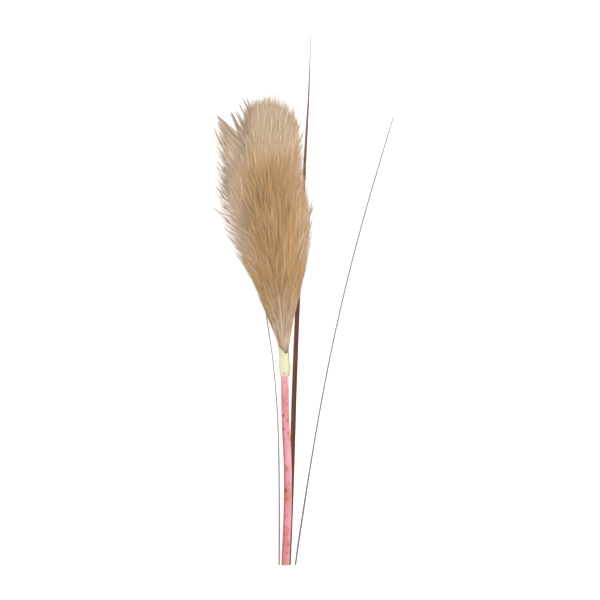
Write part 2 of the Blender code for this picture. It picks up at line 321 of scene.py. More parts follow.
# %% The fibre grain group
def fibre_grain_group():
    """A node group: a vector with X across and Y along the fibres goes in, streaks and a height come out."""
    group = bpy.data.node_groups.new("fibre_grain", "ShaderNodeTree")
    group.interface.new_socket("Vector", in_out="INPUT", socket_type="NodeSocketVector")
    for name in ("Across", "Along"):
        group.interface.new_socket(name, in_out="INPUT", socket_type="NodeSocketFloat")
    for name in ("Streaks", "Height"):
        group.interface.new_socket(name, in_out="OUTPUT", socket_type="NodeSocketFloat")
    came_in = group.nodes.new("NodeGroupInput").outputs
    goes_out = group.nodes.new("NodeGroupOutput").inputs
    parts = split(group, came_in["Vector"])
    across = calculate(group, "MULTIPLY", parts["X"], came_in["Across"])
    along = calculate(group, "MULTIPLY", parts["Y"], came_in["Along"])
    stretched = place_node(group, "ShaderNodeCombineXYZ", {"X": across, "Y": along}).outputs[0]
    broad = noise(group, stretched, 1.0, 2.0)
    fine = noise(group, stretched, 4.0, 1.0)
    both = calculate(group, "MULTIPLY_ADD", fine, 0.5, broad)
    group.links.new(fade(group, both, 0.55, 0.95), goes_out["Streaks"])
    group.links.new(fine, goes_out["Height"])
    return group


FIBRE_GRAIN = fibre_grain_group()


def fibre_grain(tree, vector, across, along):
    """The shared grain with its own scales: the streaks and the height."""
    inputs = {"Vector": vector, "Across": across, "Along": along}
    node = place_node(tree, "ShaderNodeGroup", inputs, node_tree=FIBRE_GRAIN)
    return node.outputs["Streaks"], node.outputs["Height"]


def bump(tree, shader, height, distance, strength=1.0):
    """Small relief on the shader."""
    inputs = {"Height": height, "Distance": distance, "Strength": strength}
    tree.links.new(place_node(tree, "ShaderNodeBump", inputs).outputs[0], shader.inputs["Normal"])


print("Grain group:", [s.name for s in FIBRE_GRAIN.interface.items_tree])

# %% [markdown]
# ## The culm
#
# The culm is the stalk: round, solid, nearly 10 mm thick, a little bent, and cut straight at its foot. A
# curve with a bevel would make the tube, but its end would be a plain disc. A cylinder whose end face is
# extruded along the middle line gives the same tube, and its foot face can then be inset into a firm
# outer ring and a paler, slightly sunken pith.

# %% Extrude the stalk and cut its foot
CULM_RADIUS = 0.00485
CULM_END = 0.2500
CULM_SIDES = 48
CULM_STATIONS = 42
RIND = 0.0006
PITH_SLOPE = RIND / 3
PITH_DEPTH = 0.00015
WRAP_SCALE = 4


def middle(along):
    """The point in the middle of the shoot at that distance along it."""
    return Vector((float(shoot_x(along)), along, float(shoot_z(along))))


def make_culm():
    """The stalk from its cut foot to its hidden end in the plume."""
    step = CULM_END / CULM_STATIONS
    turned = (-math.pi / 2, 0, 0)
    bpy.ops.object.select_all(action="DESELECT")
    bpy.ops.mesh.primitive_cylinder_add(
        vertices=CULM_SIDES, radius=CULM_RADIUS, depth=step, rotation=turned, location=(0, step / 2, 0)
    )
    obj = newest("culm_stalk")
    apply_all(obj)
    pick(obj, lambda c: c.y < step / 2)
    bpy.ops.transform.translate(value=Vector((shoot_x(0), 0, shoot_z(0))))
    pick(obj, lambda c: c.y > step / 2)
    bpy.ops.transform.translate(value=middle(step) - Vector((0, step, 0)))
    pick(obj, lambda c: c.y > step * 0.99, "FACE")
    for i in range(1, CULM_STATIONS):
        move = middle(step * (i + 1)) - middle(step * i)
        bpy.ops.mesh.extrude_region_move(TRANSFORM_OT_translate={"value": move})
    pick(obj, lambda c: c.y < step * 0.01, "FACE")
    bpy.ops.mesh.inset(thickness=RIND, depth=0)
    bpy.ops.mesh.inset(thickness=PITH_SLOPE, depth=-PITH_DEPTH)
    leave_edit_mode()
    soften_edges(obj, RIND / 5, 2, 30, 40)
    return obj


def angle_round(point):
    """The angle round the shoot's middle at which a point lies."""
    return math.atan2(point.z - shoot_z(point.y), point.x - shoot_x(point.y))


def wrap_map(obj):
    """A map round the shoot: U runs once round from the underside, V along it."""
    mesh = obj.data
    layer = mesh.uv_layers.new(name="wrap")
    for face in mesh.polygons:
        aim = angle_round(face.center)
        start = (aim + math.pi / 2) % math.tau
        for corner in face.loop_indices:
            point = mesh.vertices[mesh.loops[corner].vertex_index].co
            beside = (angle_round(point) - aim + math.pi) % math.tau - math.pi
            layer.data[corner].uv = ((start + beside) / math.tau, point.y * WRAP_SCALE)


culm = make_culm()
wrap_map(culm)
print("Culm:", len(culm.data.polygons), "faces, from its cut foot to", CULM_END, "m along")

# %% [markdown]
# ## The culm's finish
#
# The culm is pink, shading to salmon in long patches, with painted shade in a darker red on its left flank
# below the top quarter, a painted highlight in paler pink on the upper right, orange-tan streaks on the
# upper right, and brown, purple and dark red marks. Each of these is a mask over the base pink. The big
# marks read the bench coordinates, so each sits at its measured place, and small freckles are where a
# pattern of cells and a random one agree. The cut end faces back along the length, which tells it apart.

# %% Pink, salmon, marks and the cut end
PINK = colour("FAB4C0")
# A paler pink, painted highlight on the upper right.
HIGHLIGHT_PINK = colour("FFC7CE")
SALMON = colour("DE877F")
ORANGE = colour("E8906E")
# Darker red: painted shade on the left flank, and also the colour of the fibre grain.
SHADE_AND_GRAIN_RED = colour("AE4F58")
FRECKLE = colour("8E4352")
PURPLE_MARK = colour("A8617E")
DARK_RED_MARK = colour("8E3A3E")
TAN_MARK = colour("B56A54")
PITH = colour("E2CDA4")
RIND_TAN = colour("B98C66")
# Each mark's place across and along, its size, its strength and its colour.
CULM_MARKS = [
    (-0.0002, 0.2249, 0.0017, 0.45, PURPLE_MARK), (0.0025, 0.2052, 0.0012, 0.60, TAN_MARK),
    (0.0027, 0.1988, 0.0013, 0.65, TAN_MARK), (-0.0002, 0.1966, 0.0013, 0.55, PURPLE_MARK),
    (-0.0024, 0.1941, 0.0013, 0.50, PURPLE_MARK), (-0.0017, 0.1843, 0.0018, 0.95, DARK_RED_MARK),
    (0.0034, 0.1782, 0.0017, 0.80, DARK_RED_MARK), (-0.0025, 0.1671, 0.0019, 0.80, DARK_RED_MARK),
    (0.0040, 0.1628, 0.0014, 0.70, DARK_RED_MARK), (-0.0006, 0.1560, 0.0016, 0.50, PURPLE_MARK),
    (0.0008, 0.1190, 0.0040, 0.75, TAN_MARK), (0.0050, 0.1010, 0.0014, 0.60, PURPLE_MARK),
    (0.0006, 0.0922, 0.0026, 0.85, DARK_RED_MARK), (0.0017, 0.0823, 0.0012, 0.85, DARK_RED_MARK),
    (0.0012, 0.0479, 0.0015, 0.50, PURPLE_MARK), (0.0050, 0.0435, 0.0015, 0.55, PURPLE_MARK),
    (0.0041, 0.0258, 0.0016, 0.80, DARK_RED_MARK), (0.0025, 0.0151, 0.0013, 0.75, DARK_RED_MARK),
]
BELOW_FOOT = -1.0
SALMON_PATCHES = 0.34
# Where each salmon stretch starts and ends, how soft its ends are, and its strength.
SALMON_STRETCHES = [
    (BELOW_FOOT, 0.0425, 0.0075, 0.42), (0.074, 0.104, 0.010, 0.40), (BELOW_FOOT, 0.105, 0.020, 0.38),
    (0.170, 0.215, 0.010, 0.50),
]
HIGHLIGHT_SIDE = (0.29, 0.42, 0.06)
ORANGE_STRETCH = (0.150, 0.222, 0.008)
# Each pattern's scale, how much of a cell its dot takes, and its strength.
FRECKLE_SIZES = [(210.0, 0.24, 0.60), (480.0, 0.30, 0.45)]
MARK_SQUEEZE = 0.55

print("Marks on the culm:", len(CULM_MARKS))

# %% Masks for spots, freckles and stretches
def spot(tree, vector, x, along, size):
    """1 at a place seen from above, fading to 0 over that many metres, longer along than across."""
    inputs = {"Vector": vector, "Location": (-x, -along * MARK_SQUEEZE, 0), "Scale": (1, MARK_SQUEEZE, 0)}
    near = place_node(tree, "ShaderNodeMapping", inputs).outputs["Vector"]
    far = place_node(tree, "ShaderNodeVectorMath", {0: near}, operation="LENGTH").outputs["Value"]
    return fade(tree, far, size, size * 0.25)


def cells(tree, vector, scale):
    """A pattern of cells: how far each point is from the middle of its cell."""
    return place_node(tree, "ShaderNodeTexVoronoi", {"Vector": vector, "Scale": scale}).outputs["Distance"]


def freckles(tree, vector, scale, size):
    """Round dots where a pattern of cells and a random one agree."""
    dots = fade(tree, cells(tree, vector, scale), size, 0.10)
    return calculate(tree, "MULTIPLY", dots, fade(tree, noise(tree, vector, scale * 0.45, 1.0), 0.50, 0.60))


def between(tree, value, low, high, soft):
    """1 where the value lies between two limits, with soft ends."""
    up = fade(tree, value, low - soft, low + soft)
    return calculate(tree, "MULTIPLY", up, fade(tree, value, high + soft, high - soft))


# %% The culm's material
def culm_finish():
    """The pink stalk."""
    material, tree, shader = new_finish("culm_pink", 0.42, 0.3)
    bench = bench_coordinates(tree)
    along = split(tree, bench)["Y"]
    wrap, round_it, _ = own_map(tree, "wrap")
    squeezed = place_node(tree, "ShaderNodeMapping", {"Vector": bench, "Scale": (1, 0.35, 1)}).outputs[0]
    patches = noise(tree, squeezed, 150.0, 4.0)
    salmon = calculate(tree, "MULTIPLY", fade(tree, patches, 0.44, 0.60), SALMON_PATCHES)
    for low, high, soft, strength in SALMON_STRETCHES:
        salmon = calculate(tree, "MULTIPLY_ADD", between(tree, along, low, high, soft), strength, salmon)
    shade = blend_colours(tree, salmon, PINK, SALMON)
    # Painted highlight: paler pink on the upper right.
    right = between(tree, round_it, *HIGHLIGHT_SIDE)
    shade = wash(tree, shade, right, 0.40, HIGHLIGHT_PINK)
    orange_reach = calculate(tree, "MULTIPLY", right, between(tree, along, *ORANGE_STRETCH))
    streaks = fade(tree, noise(tree, squeezed, 210.0, 2.0), 0.36, 0.52)
    shade = wash(tree, shade, calculate(tree, "MULTIPLY", orange_reach, streaks), 0.9, ORANGE)
    # Painted shade: a darker red on the left flank, strongest below the top quarter.
    left = fade(tree, round_it, 0.555, 0.650)
    flank = calculate(tree, "MULTIPLY_ADD", fade(tree, along, 0.185, 0.160), 0.66, 0.20)
    shade = wash(tree, shade, left, flank, SHADE_AND_GRAIN_RED)
    for x, place, size, strength, mark in CULM_MARKS:
        shade = wash(tree, shade, spot(tree, bench, x, place, size), strength, mark)
    for scale, size, strength in FRECKLE_SIZES:
        shade = wash(tree, shade, freckles(tree, bench, scale, size), strength, FRECKLE)
    grain, ridges = fibre_grain(tree, wrap, 34.0, 5.0)
    shade = wash(tree, shade, grain, 0.22, SHADE_AND_GRAIN_RED)
    facing = split(tree, place_node(tree, "ShaderNodeNewGeometry").outputs["Normal"])["Y"]
    pith = blend_colours(tree, fade(tree, cells(tree, bench, 1100.0), 0.36, 0.18), PITH, RIND_TAN)
    shade = blend_colours(tree, fade(tree, facing, -0.80, -0.90), shade, pith)
    tree.links.new(shade, shader.inputs["Base Color"])
    tree.links.new(calculate(tree, "MULTIPLY_ADD", patches, 0.25, 0.32), shader.inputs["Roughness"])
    bump(tree, shader, ridges, 0.00012, 0.6)
    return material


finish_piece(culm, "culm", culm_finish())

# %% [markdown]
# ## The flag sheath
#
# The sheath is the base of the last leaf: a thin sheet rolled once round the shoot with its edges
# lapped, its mouth cut in a slanting V where the plume comes out. A solid tube would hide the lap and
# the thin edge, so it is a flat grid rolled up by its own coordinates: one direction becomes the turn and
# the other the length. Solidify gives the sheet its thickness.

# %% Roll the sheet
SHEATH_FOOT = 0.2320
SHEATH_WALL = 0.00032
SHEATH_CLEARANCE = 0.0003
SHEATH_LAP_GAP = 0.0004
SHEATH_TURN = 392
SHEATH_LIFT_FROM = 318
SHEATH_GRID = (110, 34)
# Degrees round from the right, up over the top, and where the mouth's edge is along the shoot.
SHEATH_MOUTH = [
    (0, 0.2616), (40, 0.2613), (62, 0.2605), (78, 0.2600), (95, 0.2621), (110, 0.2641), (135, 0.2673),
    (178, 0.2705), (230, 0.2690), (300, 0.2640), (345, 0.2618), (392, 0.2613),
]
# Distance along, and how far the sheath stands out there.
SHEATH_BULGE = [(0.232, 0.0), (0.240, 0.0008), (0.250, 0.0006), (0.258, 0.0004), (0.2705, 0.0017)]
SWELL = 0.0007
SWELL_AT = 0.2435
SWELL_LENGTH = 0.0060
LEFT_FLARE = [(0.232, 0.0), (0.242, 0.0004), (0.256, 0.0010), (0.264, 0.0012), (0.2705, 0.0004)]
RIGHT_PULL = [(0.232, 0.0), (0.246, 0.0), (0.252, 0.0004), (0.2705, 0.0004)]
EDGE_WAVE = 0.00022
EDGE_WAVE_DEGREES = (9, 23)

sheath_mouth = curve_through(SHEATH_MOUTH)
sheath_bulge = curve_through(SHEATH_BULGE)
left_flare = curve_through(LEFT_FLARE)
right_pull = curve_through(RIGHT_PULL)


def make_sheath():
    """The leaf base, rolled from a grid that runs from -1 to 1 both ways."""
    bpy.ops.object.select_all(action="DESELECT")
    bpy.ops.mesh.primitive_grid_add(x_subdivisions=SHEATH_GRID[0], y_subdivisions=SHEATH_GRID[1], size=2)
    obj = newest("sheath_roll")
    layer = obj.data.uv_layers.active
    layer.name = "sheet"
    for vert in obj.data.vertices:
        degrees = SHEATH_TURN * (1 - vert.co.x) / 2
        angle = math.radians(degrees)
        right, left = max(0.0, math.cos(angle)), max(0.0, -math.cos(angle))
        short, long = (math.sin(degrees / length) for length in EDGE_WAVE_DEGREES)
        top = float(sheath_mouth(degrees)) + EDGE_WAVE * short * long
        along = SHEATH_FOOT + (top - SHEATH_FOOT) * (1 + vert.co.y) / 2
        lifted = min(1.0, max(0.0, (degrees - SHEATH_LIFT_FROM) / (360 - SHEATH_LIFT_FROM)))
        out = CULM_RADIUS + SHEATH_CLEARANCE + float(sheath_bulge(along))
        out += SWELL * right**3 * math.exp(-(((along - SWELL_AT) / SWELL_LENGTH) ** 2))
        out += float(left_flare(along)) * left**2 - float(right_pull(along)) * right**2
        out += (SHEATH_WALL + SHEATH_LAP_GAP) * lifted
        centre = middle(along)
        vert.co = (centre.x + out * math.cos(angle), along, centre.z + out * math.sin(angle))
    thicken(obj, SHEATH_WALL)
    soften_edges(obj, SHEATH_WALL / 5, 1, 50, 45)
    return obj


sheath = make_sheath()
print("Sheath:", len(sheath.data.polygons), "faces, rolled through", SHEATH_TURN, "degrees")

# %% [markdown]
# ## The sheath's finish
#
# It is cream, with a painted highlight that makes it yellower on the right and painted shade on its left
# and underneath, greenish on the flap at the upper left, and peach where it meets the culm, with one small
# brown spot. The grid's own map still says how far round and how far up each point of the rolled sheet is,
# so the patches are placed with it.

# %% Cream, green and yellow
CREAM = colour("EFE9C6")
# A yellower cream, painted highlight on the right.
HIGHLIGHT_YELLOW = colour("F3EEB6")
GREEN = colour("D6E0BA")
SHADED_CREAM = colour("DCD9B8")
PEACH = colour("EED3B6")
LEAF_BROWN = colour("A98F68")
BROWN_SPOT = (-0.0008, 0.2362, 0.0016)


def sheath_finish():
    """The pale leaf base."""
    material, tree, shader = new_finish("sheath_cream", 0.5, 0.35)
    vector, u, v = own_map(tree, "sheet")
    round_it = calculate(tree, "MULTIPLY", calculate(tree, "SUBTRACT", 1.0, u), float(SHEATH_TURN))
    grain, ridges = fibre_grain(tree, vector, 46.0, 2.0)
    # Painted highlight: yellower on the right, above the foot.
    yellow_highlight = calculate(tree, "MULTIPLY", fade(tree, round_it, 110.0, 75.0), fade(tree, v, 0.05, 0.35))
    shade = blend_colours(tree, yellow_highlight, CREAM, HIGHLIGHT_YELLOW)
    shade = wash(tree, shade, between(tree, round_it, 140.0, 300.0, 20.0), 0.7, SHADED_CREAM)
    flap = calculate(tree, "MULTIPLY", between(tree, round_it, 104.0, 220.0, 8.0), fade(tree, v, 0.62, 0.72))
    shade = wash(tree, shade, flap, 0.85, GREEN)
    warm = calculate(tree, "MULTIPLY", fade(tree, round_it, 66.0, 40.0), between(tree, v, 0.10, 0.45, 0.08))
    shade = wash(tree, shade, warm, 0.5, PEACH)
    shade = blend_colours(tree, fade(tree, v, 0.24, 0.04), shade, PEACH)
    shade = wash(tree, shade, grain, 0.22, SHADED_CREAM)
    shade = wash(tree, shade, spot(tree, bench_coordinates(tree), *BROWN_SPOT), 0.55, LEAF_BROWN)
    tree.links.new(shade, shader.inputs["Base Color"])
    bump(tree, shader, ridges, 0.00010, 0.6)
    return material


finish_piece(sheath, "flag_sheath", sheath_finish())

# %% [markdown]
# ## The leaf blades
#
# A pampas blade is long, narrow, stiff and folded along its keel, with fine parallel ribs. Each blade
# starts as a short strip of faces across its foot. Its far edge is extruded from station to station and
# resized there, as one would draw it out by hand, so the fold and the ribs run all the way to the
# tip. Solidify makes it a real leaf's thickness, and its map keeps across and along for the colours.

# %% Draw the blades out
KEEL_SHARE = 0.12
RIB_SHARE = 0.010
BLADE_THICKNESS = 0.0004
BLADE_COLUMNS = 12
BLADE_STEP = 0.010
BLADE_LIFT = 0.0001
# Distance along, the blade's middle across, and its width.
DARK_BLADE = [
    (0.0000, 0.0055, 0.0034), (0.0258, 0.0062, 0.0047), (0.0553, 0.0069, 0.0056), (0.1044, 0.0083, 0.0064),
    (0.1536, 0.0096, 0.0070), (0.2027, 0.0110, 0.0070), (0.2715, 0.0135, 0.0067), (0.3256, 0.0159, 0.0062),
    (0.4116, 0.0205, 0.0050), (0.4915, 0.0243, 0.0038), (0.5406, 0.0270, 0.0030), (0.5775, 0.0291, 0.0023),
    (0.6205, 0.0306, 0.0015), (0.6500, 0.0316, 0.0008),
]
RIGHT_BLADE = [
    (0.0000, 0.0128, 0.0020), (0.0258, 0.0163, 0.0022), (0.0553, 0.0208, 0.0023), (0.0848, 0.0253, 0.0022),
    (0.1290, 0.0324, 0.0020), (0.2027, 0.0451, 0.0020), (0.2765, 0.0597, 0.0020), (0.3502, 0.0766, 0.0020),
    (0.4239, 0.0959, 0.0019), (0.4976, 0.1173, 0.0017), (0.5505, 0.1331, 0.0012),
]
LEFT_BLADE = [
    (0.0000, -0.0074, 0.0018), (0.0553, -0.0071, 0.0018), (0.1290, -0.0076, 0.0016),
    (0.1536, -0.0081, 0.0015), (0.2027, -0.0105, 0.0014), (0.2322, -0.0129, 0.0013),
    (0.2642, -0.0166, 0.0012), (0.2949, -0.0214, 0.0012), (0.3250, -0.0252, 0.0011),
    (0.3600, -0.0280, 0.0010), (0.4000, -0.0301, 0.0009), (0.4350, -0.0316, 0.0008),
]


def make_blade(name, stations):
    """One blade, extruded along its stations, with its keel up."""
    across = curve_through([(along, x) for along, x, _ in stations])
    wide = curve_through([(along, width) for along, _, width in stations])
    length = stations[-1][0]
    steps = round(length / BLADE_STEP)
    step = length / steps
    bpy.ops.object.select_all(action="DESELECT")
    bpy.ops.mesh.primitive_grid_add(x_subdivisions=BLADE_COLUMNS, y_subdivisions=1, size=1)
    obj = newest(name)
    obj.data.uv_layers.remove(obj.data.uv_layers[0])
    foot = float(wide(0))
    for vert in obj.data.vertices:
        side = 2 * vert.co.x
        along = step * (vert.co.y + 0.5)
        rib = RIB_SHARE * math.cos(side * BLADE_COLUMNS * math.pi / 2)
        height = BLADE_LIFT + foot * (KEEL_SHARE * (1 - abs(side)) + rib)
        vert.co = (float(across(along)) + side * foot / 2, along, height)
    pick(obj, lambda c: c.y > step * 0.9, "EDGE")
    for i in range(1, steps):
        here, there = step * i, step * (i + 1)
        move = (float(across(there) - across(here)), step, 0)
        grow = float(wide(there) / wide(here))
        bpy.ops.mesh.extrude_region_move(TRANSFORM_OT_translate={"value": move})
        bpy.ops.transform.resize(value=(grow, 1, grow), center_override=(float(across(there)), there, 0))
    leave_edit_mode()
    layer = obj.data.uv_layers.new(name="leaf")
    for corner in obj.data.loops:
        point = obj.data.vertices[corner.vertex_index].co
        side = (point.x - float(across(point.y))) / float(wide(point.y))
        layer.data[corner.index].uv = (0.5 + side, point.y / length)
    thicken(obj, BLADE_THICKNESS)
    soften_edges(obj, BLADE_THICKNESS / 4, 1, 60, 40)
    print(f"{name}: {steps} steps, {round(1000 * length)} mm long")
    return obj


dark_blade = make_blade("dark_blade", DARK_BLADE)
right_blade = make_blade("right_blade", RIGHT_BLADE)
left_blade = make_blade("left_blade", LEFT_BLADE)

# %% [markdown]
# ## The blades' finish
#
# The wide blade is dark red on its right half and olive-brown on its left, and turns mauve and then
# pale tan near the tip. The two thin ones are grey: mauve on the right, straw on the left. One function
# makes all three. It takes the colours along the left half and along the right half, and lays the fibre
# grain, a few dry patches and the line of the keel over them.

# %% Two halves, veins and dry patches
def blade_finish(name, left, right, dry, grain_share, dryness):
    """A leaf finish. left and right are each half's stops from foot to tip, dry is the colour of dry leaf."""
    material, tree, shader = new_finish(name, 0.55, 0.15)
    vector, u, v = own_map(tree, "leaf")
    half = fade(tree, u, 0.46, 0.54)
    shade = blend_colours(tree, half, colour_ramp(tree, v, left), colour_ramp(tree, v, right))
    grain, ridges = fibre_grain(tree, vector, 26.0, 9.0)
    shade = wash(tree, shade, grain, grain_share, dry)
    dry_patch = fade(tree, noise(tree, bench_coordinates(tree), 55.0, 2.0), 0.56, 0.68)
    shade = wash(tree, shade, dry_patch, dryness, dry)
    keel = fade(tree, calculate(tree, "ABSOLUTE", calculate(tree, "SUBTRACT", u, 0.5)), 0.04, 0.0)
    shade = wash(tree, shade, keel, 0.20, dry)
    tree.links.new(shade, shader.inputs["Base Color"])
    bump(tree, shader, ridges, 0.00008, 0.5)
    return material


# Places from foot to tip, and the colour there.
DARK_LEFT = [
    (0.00, "7E4B3A"), (0.12, "6E4A31"), (0.25, "73592F"), (0.31, "6F4E33"),
    (0.40, "7C4640"), (0.62, "8C5A52"), (0.78, "966A66"), (0.88, "A87C86"),
    (1.00, "C6B0AA"),
]
DARK_RIGHT = [
    (0.00, "7A4430"), (0.12, "6C3626"), (0.28, "663224"), (0.40, "6A332C"),
    (0.60, "7C4842"), (0.78, "8A5A56"), (0.88, "996A70"), (1.00, "B89C98"),
]
MAUVE = [(0.0, "7A6256"), (0.25, "86756B"), (0.6, "A9A19D"), (1.0, "9A9492")]
STRAW = [(0.0, "9C887E"), (0.3, "AEA195"), (0.6, "B9ADA6"), (1.0, "A5948C")]
dark_leaf = blade_finish("leaf_dark_red", DARK_LEFT, DARK_RIGHT, colour("93604A"), 0.16, 0.15)
mauve_leaf = blade_finish("leaf_mauve", MAUVE, MAUVE, colour("B9A9A2"), 0.30, 0.40)
straw_leaf = blade_finish("leaf_straw", STRAW, STRAW, colour("8F7C72"), 0.30, 0.40)
finish_piece(dark_blade, "dark_leaf_blade", dark_leaf)
finish_piece(right_blade, "right_leaf_blade", mauve_leaf)
finish_piece(left_blade, "left_leaf_blade", straw_leaf)

# %% [markdown]
# ## The shape of the plume
#
# The plume is hair, so its shape is a rule for where hairs may run and not a surface. Two sets of widths
# describe it. The reach is the outline that the hair tips end on, and it closes at the crown. The flow
# is the direction that hairs run in, and it stays wide past the crown, because the tips at the top stand
# side by side and don't gather to a point. A place in the plume is given by its distance along, its angle
# round the shoot and its share of the flow's width.

# %% Reach and flow
# Distance along, and how far the hair reaches from the shoot's middle.
REACH_RIGHT = [
    (0.250, 0.0044), (0.262, 0.0050), (0.270, 0.0062), (0.282, 0.0094), (0.307, 0.0162), (0.332, 0.0256),
    (0.356, 0.0356), (0.375, 0.0420), (0.387, 0.0450), (0.405, 0.0488), (0.430, 0.0503), (0.448, 0.0503),
    (0.467, 0.0460), (0.491, 0.0430), (0.530, 0.0420), (0.547, 0.0400), (0.557, 0.0330), (0.563, 0.0260),
    (0.568, 0.0180), (0.574, 0.0040),
]
REACH_LEFT = [
    (0.250, 0.0044), (0.262, 0.0052), (0.270, 0.0070), (0.282, 0.0105), (0.307, 0.0190), (0.332, 0.0270),
    (0.356, 0.0355), (0.381, 0.0440), (0.405, 0.0485), (0.430, 0.0525), (0.467, 0.0545), (0.490, 0.0500),
    (0.512, 0.0400), (0.530, 0.0325), (0.543, 0.0310), (0.552, 0.0285), (0.560, 0.0275), (0.5655, 0.0255),
    (0.5695, 0.0180), (0.574, 0.0040),
]
REACH_ABOVE = [
    (0.250, 0.0044), (0.262, 0.0050), (0.270, 0.0062), (0.307, 0.0160), (0.356, 0.0280), (0.405, 0.0400),
    (0.450, 0.0445), (0.500, 0.0420), (0.540, 0.0360), (0.560, 0.0280), (0.574, 0.0060),
]
REACH_BELOW = [
    (0.250, 0.0044), (0.262, 0.0050), (0.270, 0.0062), (0.307, 0.0150), (0.356, 0.0245), (0.405, 0.0285),
    (0.450, 0.0290), (0.500, 0.0280), (0.540, 0.0245), (0.560, 0.0190), (0.574, 0.0060),
]
FLOW_WIDE_FROM = 0.430
FLOW_RIGHT_TOP = [(0.467, 0.0490), (0.500, 0.0465), (0.540, 0.0440), (0.580, 0.0430)]
FLOW_LEFT_TOP = [(0.467, 0.0560), (0.500, 0.0570), (0.540, 0.0570), (0.580, 0.0570)]
FLOW_ABOVE_TOP = [(0.467, 0.0445), (0.500, 0.0430), (0.540, 0.0410), (0.580, 0.0400)]
FLOW_BELOW_TOP = [(0.467, 0.0290), (0.500, 0.0285), (0.540, 0.0275), (0.580, 0.0265)]


def flow_line(reach, top):
    """The flow's width: the reach up to its widest part, and then the top's own points."""
    return curve_through([p for p in reach if p[0] <= FLOW_WIDE_FROM] + top)


reach = [curve_through(p) for p in (REACH_RIGHT, REACH_LEFT, REACH_ABOVE, REACH_BELOW)]
flow = [
    flow_line(REACH_RIGHT, FLOW_RIGHT_TOP), flow_line(REACH_LEFT, FLOW_LEFT_TOP),
    flow_line(REACH_ABOVE, FLOW_ABOVE_TOP), flow_line(REACH_BELOW, FLOW_BELOW_TOP),
]


def widths(lines, along, aside, over):
    """The width and the height on the side that aside and over point to: right and up above zero."""
    side = np.where(aside > 0, lines[0](along), lines[1](along))
    height = np.where(over > 0, lines[2](along), lines[3](along))
    return side, height


def plume_points(along, angle, share):
    """Points of the plume for arrays of distances along, angles round and shares of the flow's width."""
    side, height = widths(flow, along, np.cos(angle), np.sin(angle))
    x = shoot_x(along) + side * share * np.cos(angle)
    z = shoot_z(along) + height * share * np.sin(angle)
    return np.stack([x, along, z], -1)


def outline_share(along, angle):
    """The share of the flow's width at which the plume's outline lies."""
    aside, over = np.cos(angle), np.sin(angle)
    side, height = widths(flow, along, aside, over)
    reach_side, reach_height = widths(reach, along, aside, over)
    return 1 / np.sqrt((aside * side / reach_side) ** 2 + (over * height / reach_height) ** 2)


def crown_end(angle, share):
    """How far along a line of the flow runs before it leaves the plume at the crown."""
    stops = np.linspace(0.43, 0.573, 60)
    inside = outline_share(stops[None, :], angle[:, None]) >= share[:, None]
    return stops[np.maximum(inside.sum(1) - 1, 0)]


for side, line in zip(("right", "left", "above", "below"), reach):
    print(f"Reach {side} at its widest: {1000 * line(np.linspace(0.25, 0.57, 65)).max():.1f} mm")


# %% [markdown]
# ## The dense middle of the plume
#
# Deep in the real plume the hairs lie so close that no light comes through. Hairs alone would need
# millions, so the middle is one closed, fluted body under the hair, dark as the shade between hairs. It
# also carries the flat spot on which the plume rests. It starts as a cylinder, is cut into rings by
# subdividing its long edges, and each vertex then goes to its place in the plume.

# %% The body under the hair
CORE_SIDES = 72
CORE_RINGS = 60
CORE_FOOT = 0.2507
CORE_TOP = 0.552
# Distance along, and the core's share of the flow's width.
CORE_SHARE = [(0.250, 0.90), (0.290, 0.80), (0.360, 0.72), (0.510, 0.68), (0.540, 0.50), (0.552, 0.10)]
CORE_SHARE_BELOW = 0.76
# The tint on the right and how much it grows to the left, and the same for the shade from foot to top.
CORE_TINT = (0.54, 0.12)
CORE_SHADE = (0.15, 0.25)
FLUTES = 36
FLUTE_DEPTH = 0.06
FLUTE_RISE = 0.06
REST_ALONG = 0.430
REST_HALF_LENGTH = 0.027
REST_SHARE = 1.25
REST_NARROWNESS = 36
core_share = curve_through(CORE_SHARE)


def make_core():
    """The closed body under the hair, with the flat spot that it rests on."""
    bpy.ops.object.select_all(action="DESELECT")
    bpy.ops.mesh.primitive_cylinder_add(vertices=CORE_SIDES, radius=1, depth=1)
    obj = newest("plume_core")
    pick(obj, lambda c: abs(c.z) < 0.1, "EDGE")
    bpy.ops.mesh.subdivide(number_cuts=CORE_RINGS - 1)
    leave_edit_mode()
    layer = obj.data.uv_layers.new(name="OFBake")
    local = np.array([v.co for v in obj.data.vertices])
    angle = np.arctan2(-local[:, 1], local[:, 0])
    along = CORE_TOP - (CORE_TOP - CORE_FOOT) * (0.5 - local[:, 2]) ** 1.2
    below = np.maximum(0, -np.sin(angle))
    rest = below**REST_NARROWNESS * np.exp(-(((along - REST_ALONG) / REST_HALF_LENGTH) ** 4))
    share = core_share(along)
    share = share + np.maximum(0, CORE_SHARE_BELOW - share) * below**2
    risen = np.minimum(1, (along - CORE_FOOT) / FLUTE_RISE)
    share *= 1 - FLUTE_DEPTH * risen * np.sin(angle * FLUTES / 2) ** 2
    share += (REST_SHARE - share) * rest
    points = plume_points(along, angle, share * np.minimum(1, outline_share(along, angle)))
    points[:, 2] = np.maximum(points[:, 2], 0)
    obj.data.vertices.foreach_set("co", points.ravel())
    for corner in obj.data.loops:
        from_right = abs(angle[corner.vertex_index] / math.pi)
        height = local[corner.vertex_index, 2] + 0.5
        tint = CORE_TINT[0] + CORE_TINT[1] * from_right
        layer.data[corner.index].uv = (tint, CORE_SHADE[0] + CORE_SHADE[1] * height)
    obj.data.shade_smooth()
    return obj


core = make_core()
print("Core:", len(core.data.polygons), "faces")

# %% [markdown]
# ## One hair
#
# Every hair of the plume is a copy of one small mesh: three sides, three lengths, a closed root and a
# pointed tip. It starts as a cone, its long edges are subdivided, its top is merged to a point, and its
# rings are resized so that it is fullest a little above the root. It has 16 triangles, so a hundred
# thousand copies are still a light model.

# %% Model the hair
HAIR_CUTS = 2
HAIR_FULLNESS = [0.85, 1.0, 0.75]


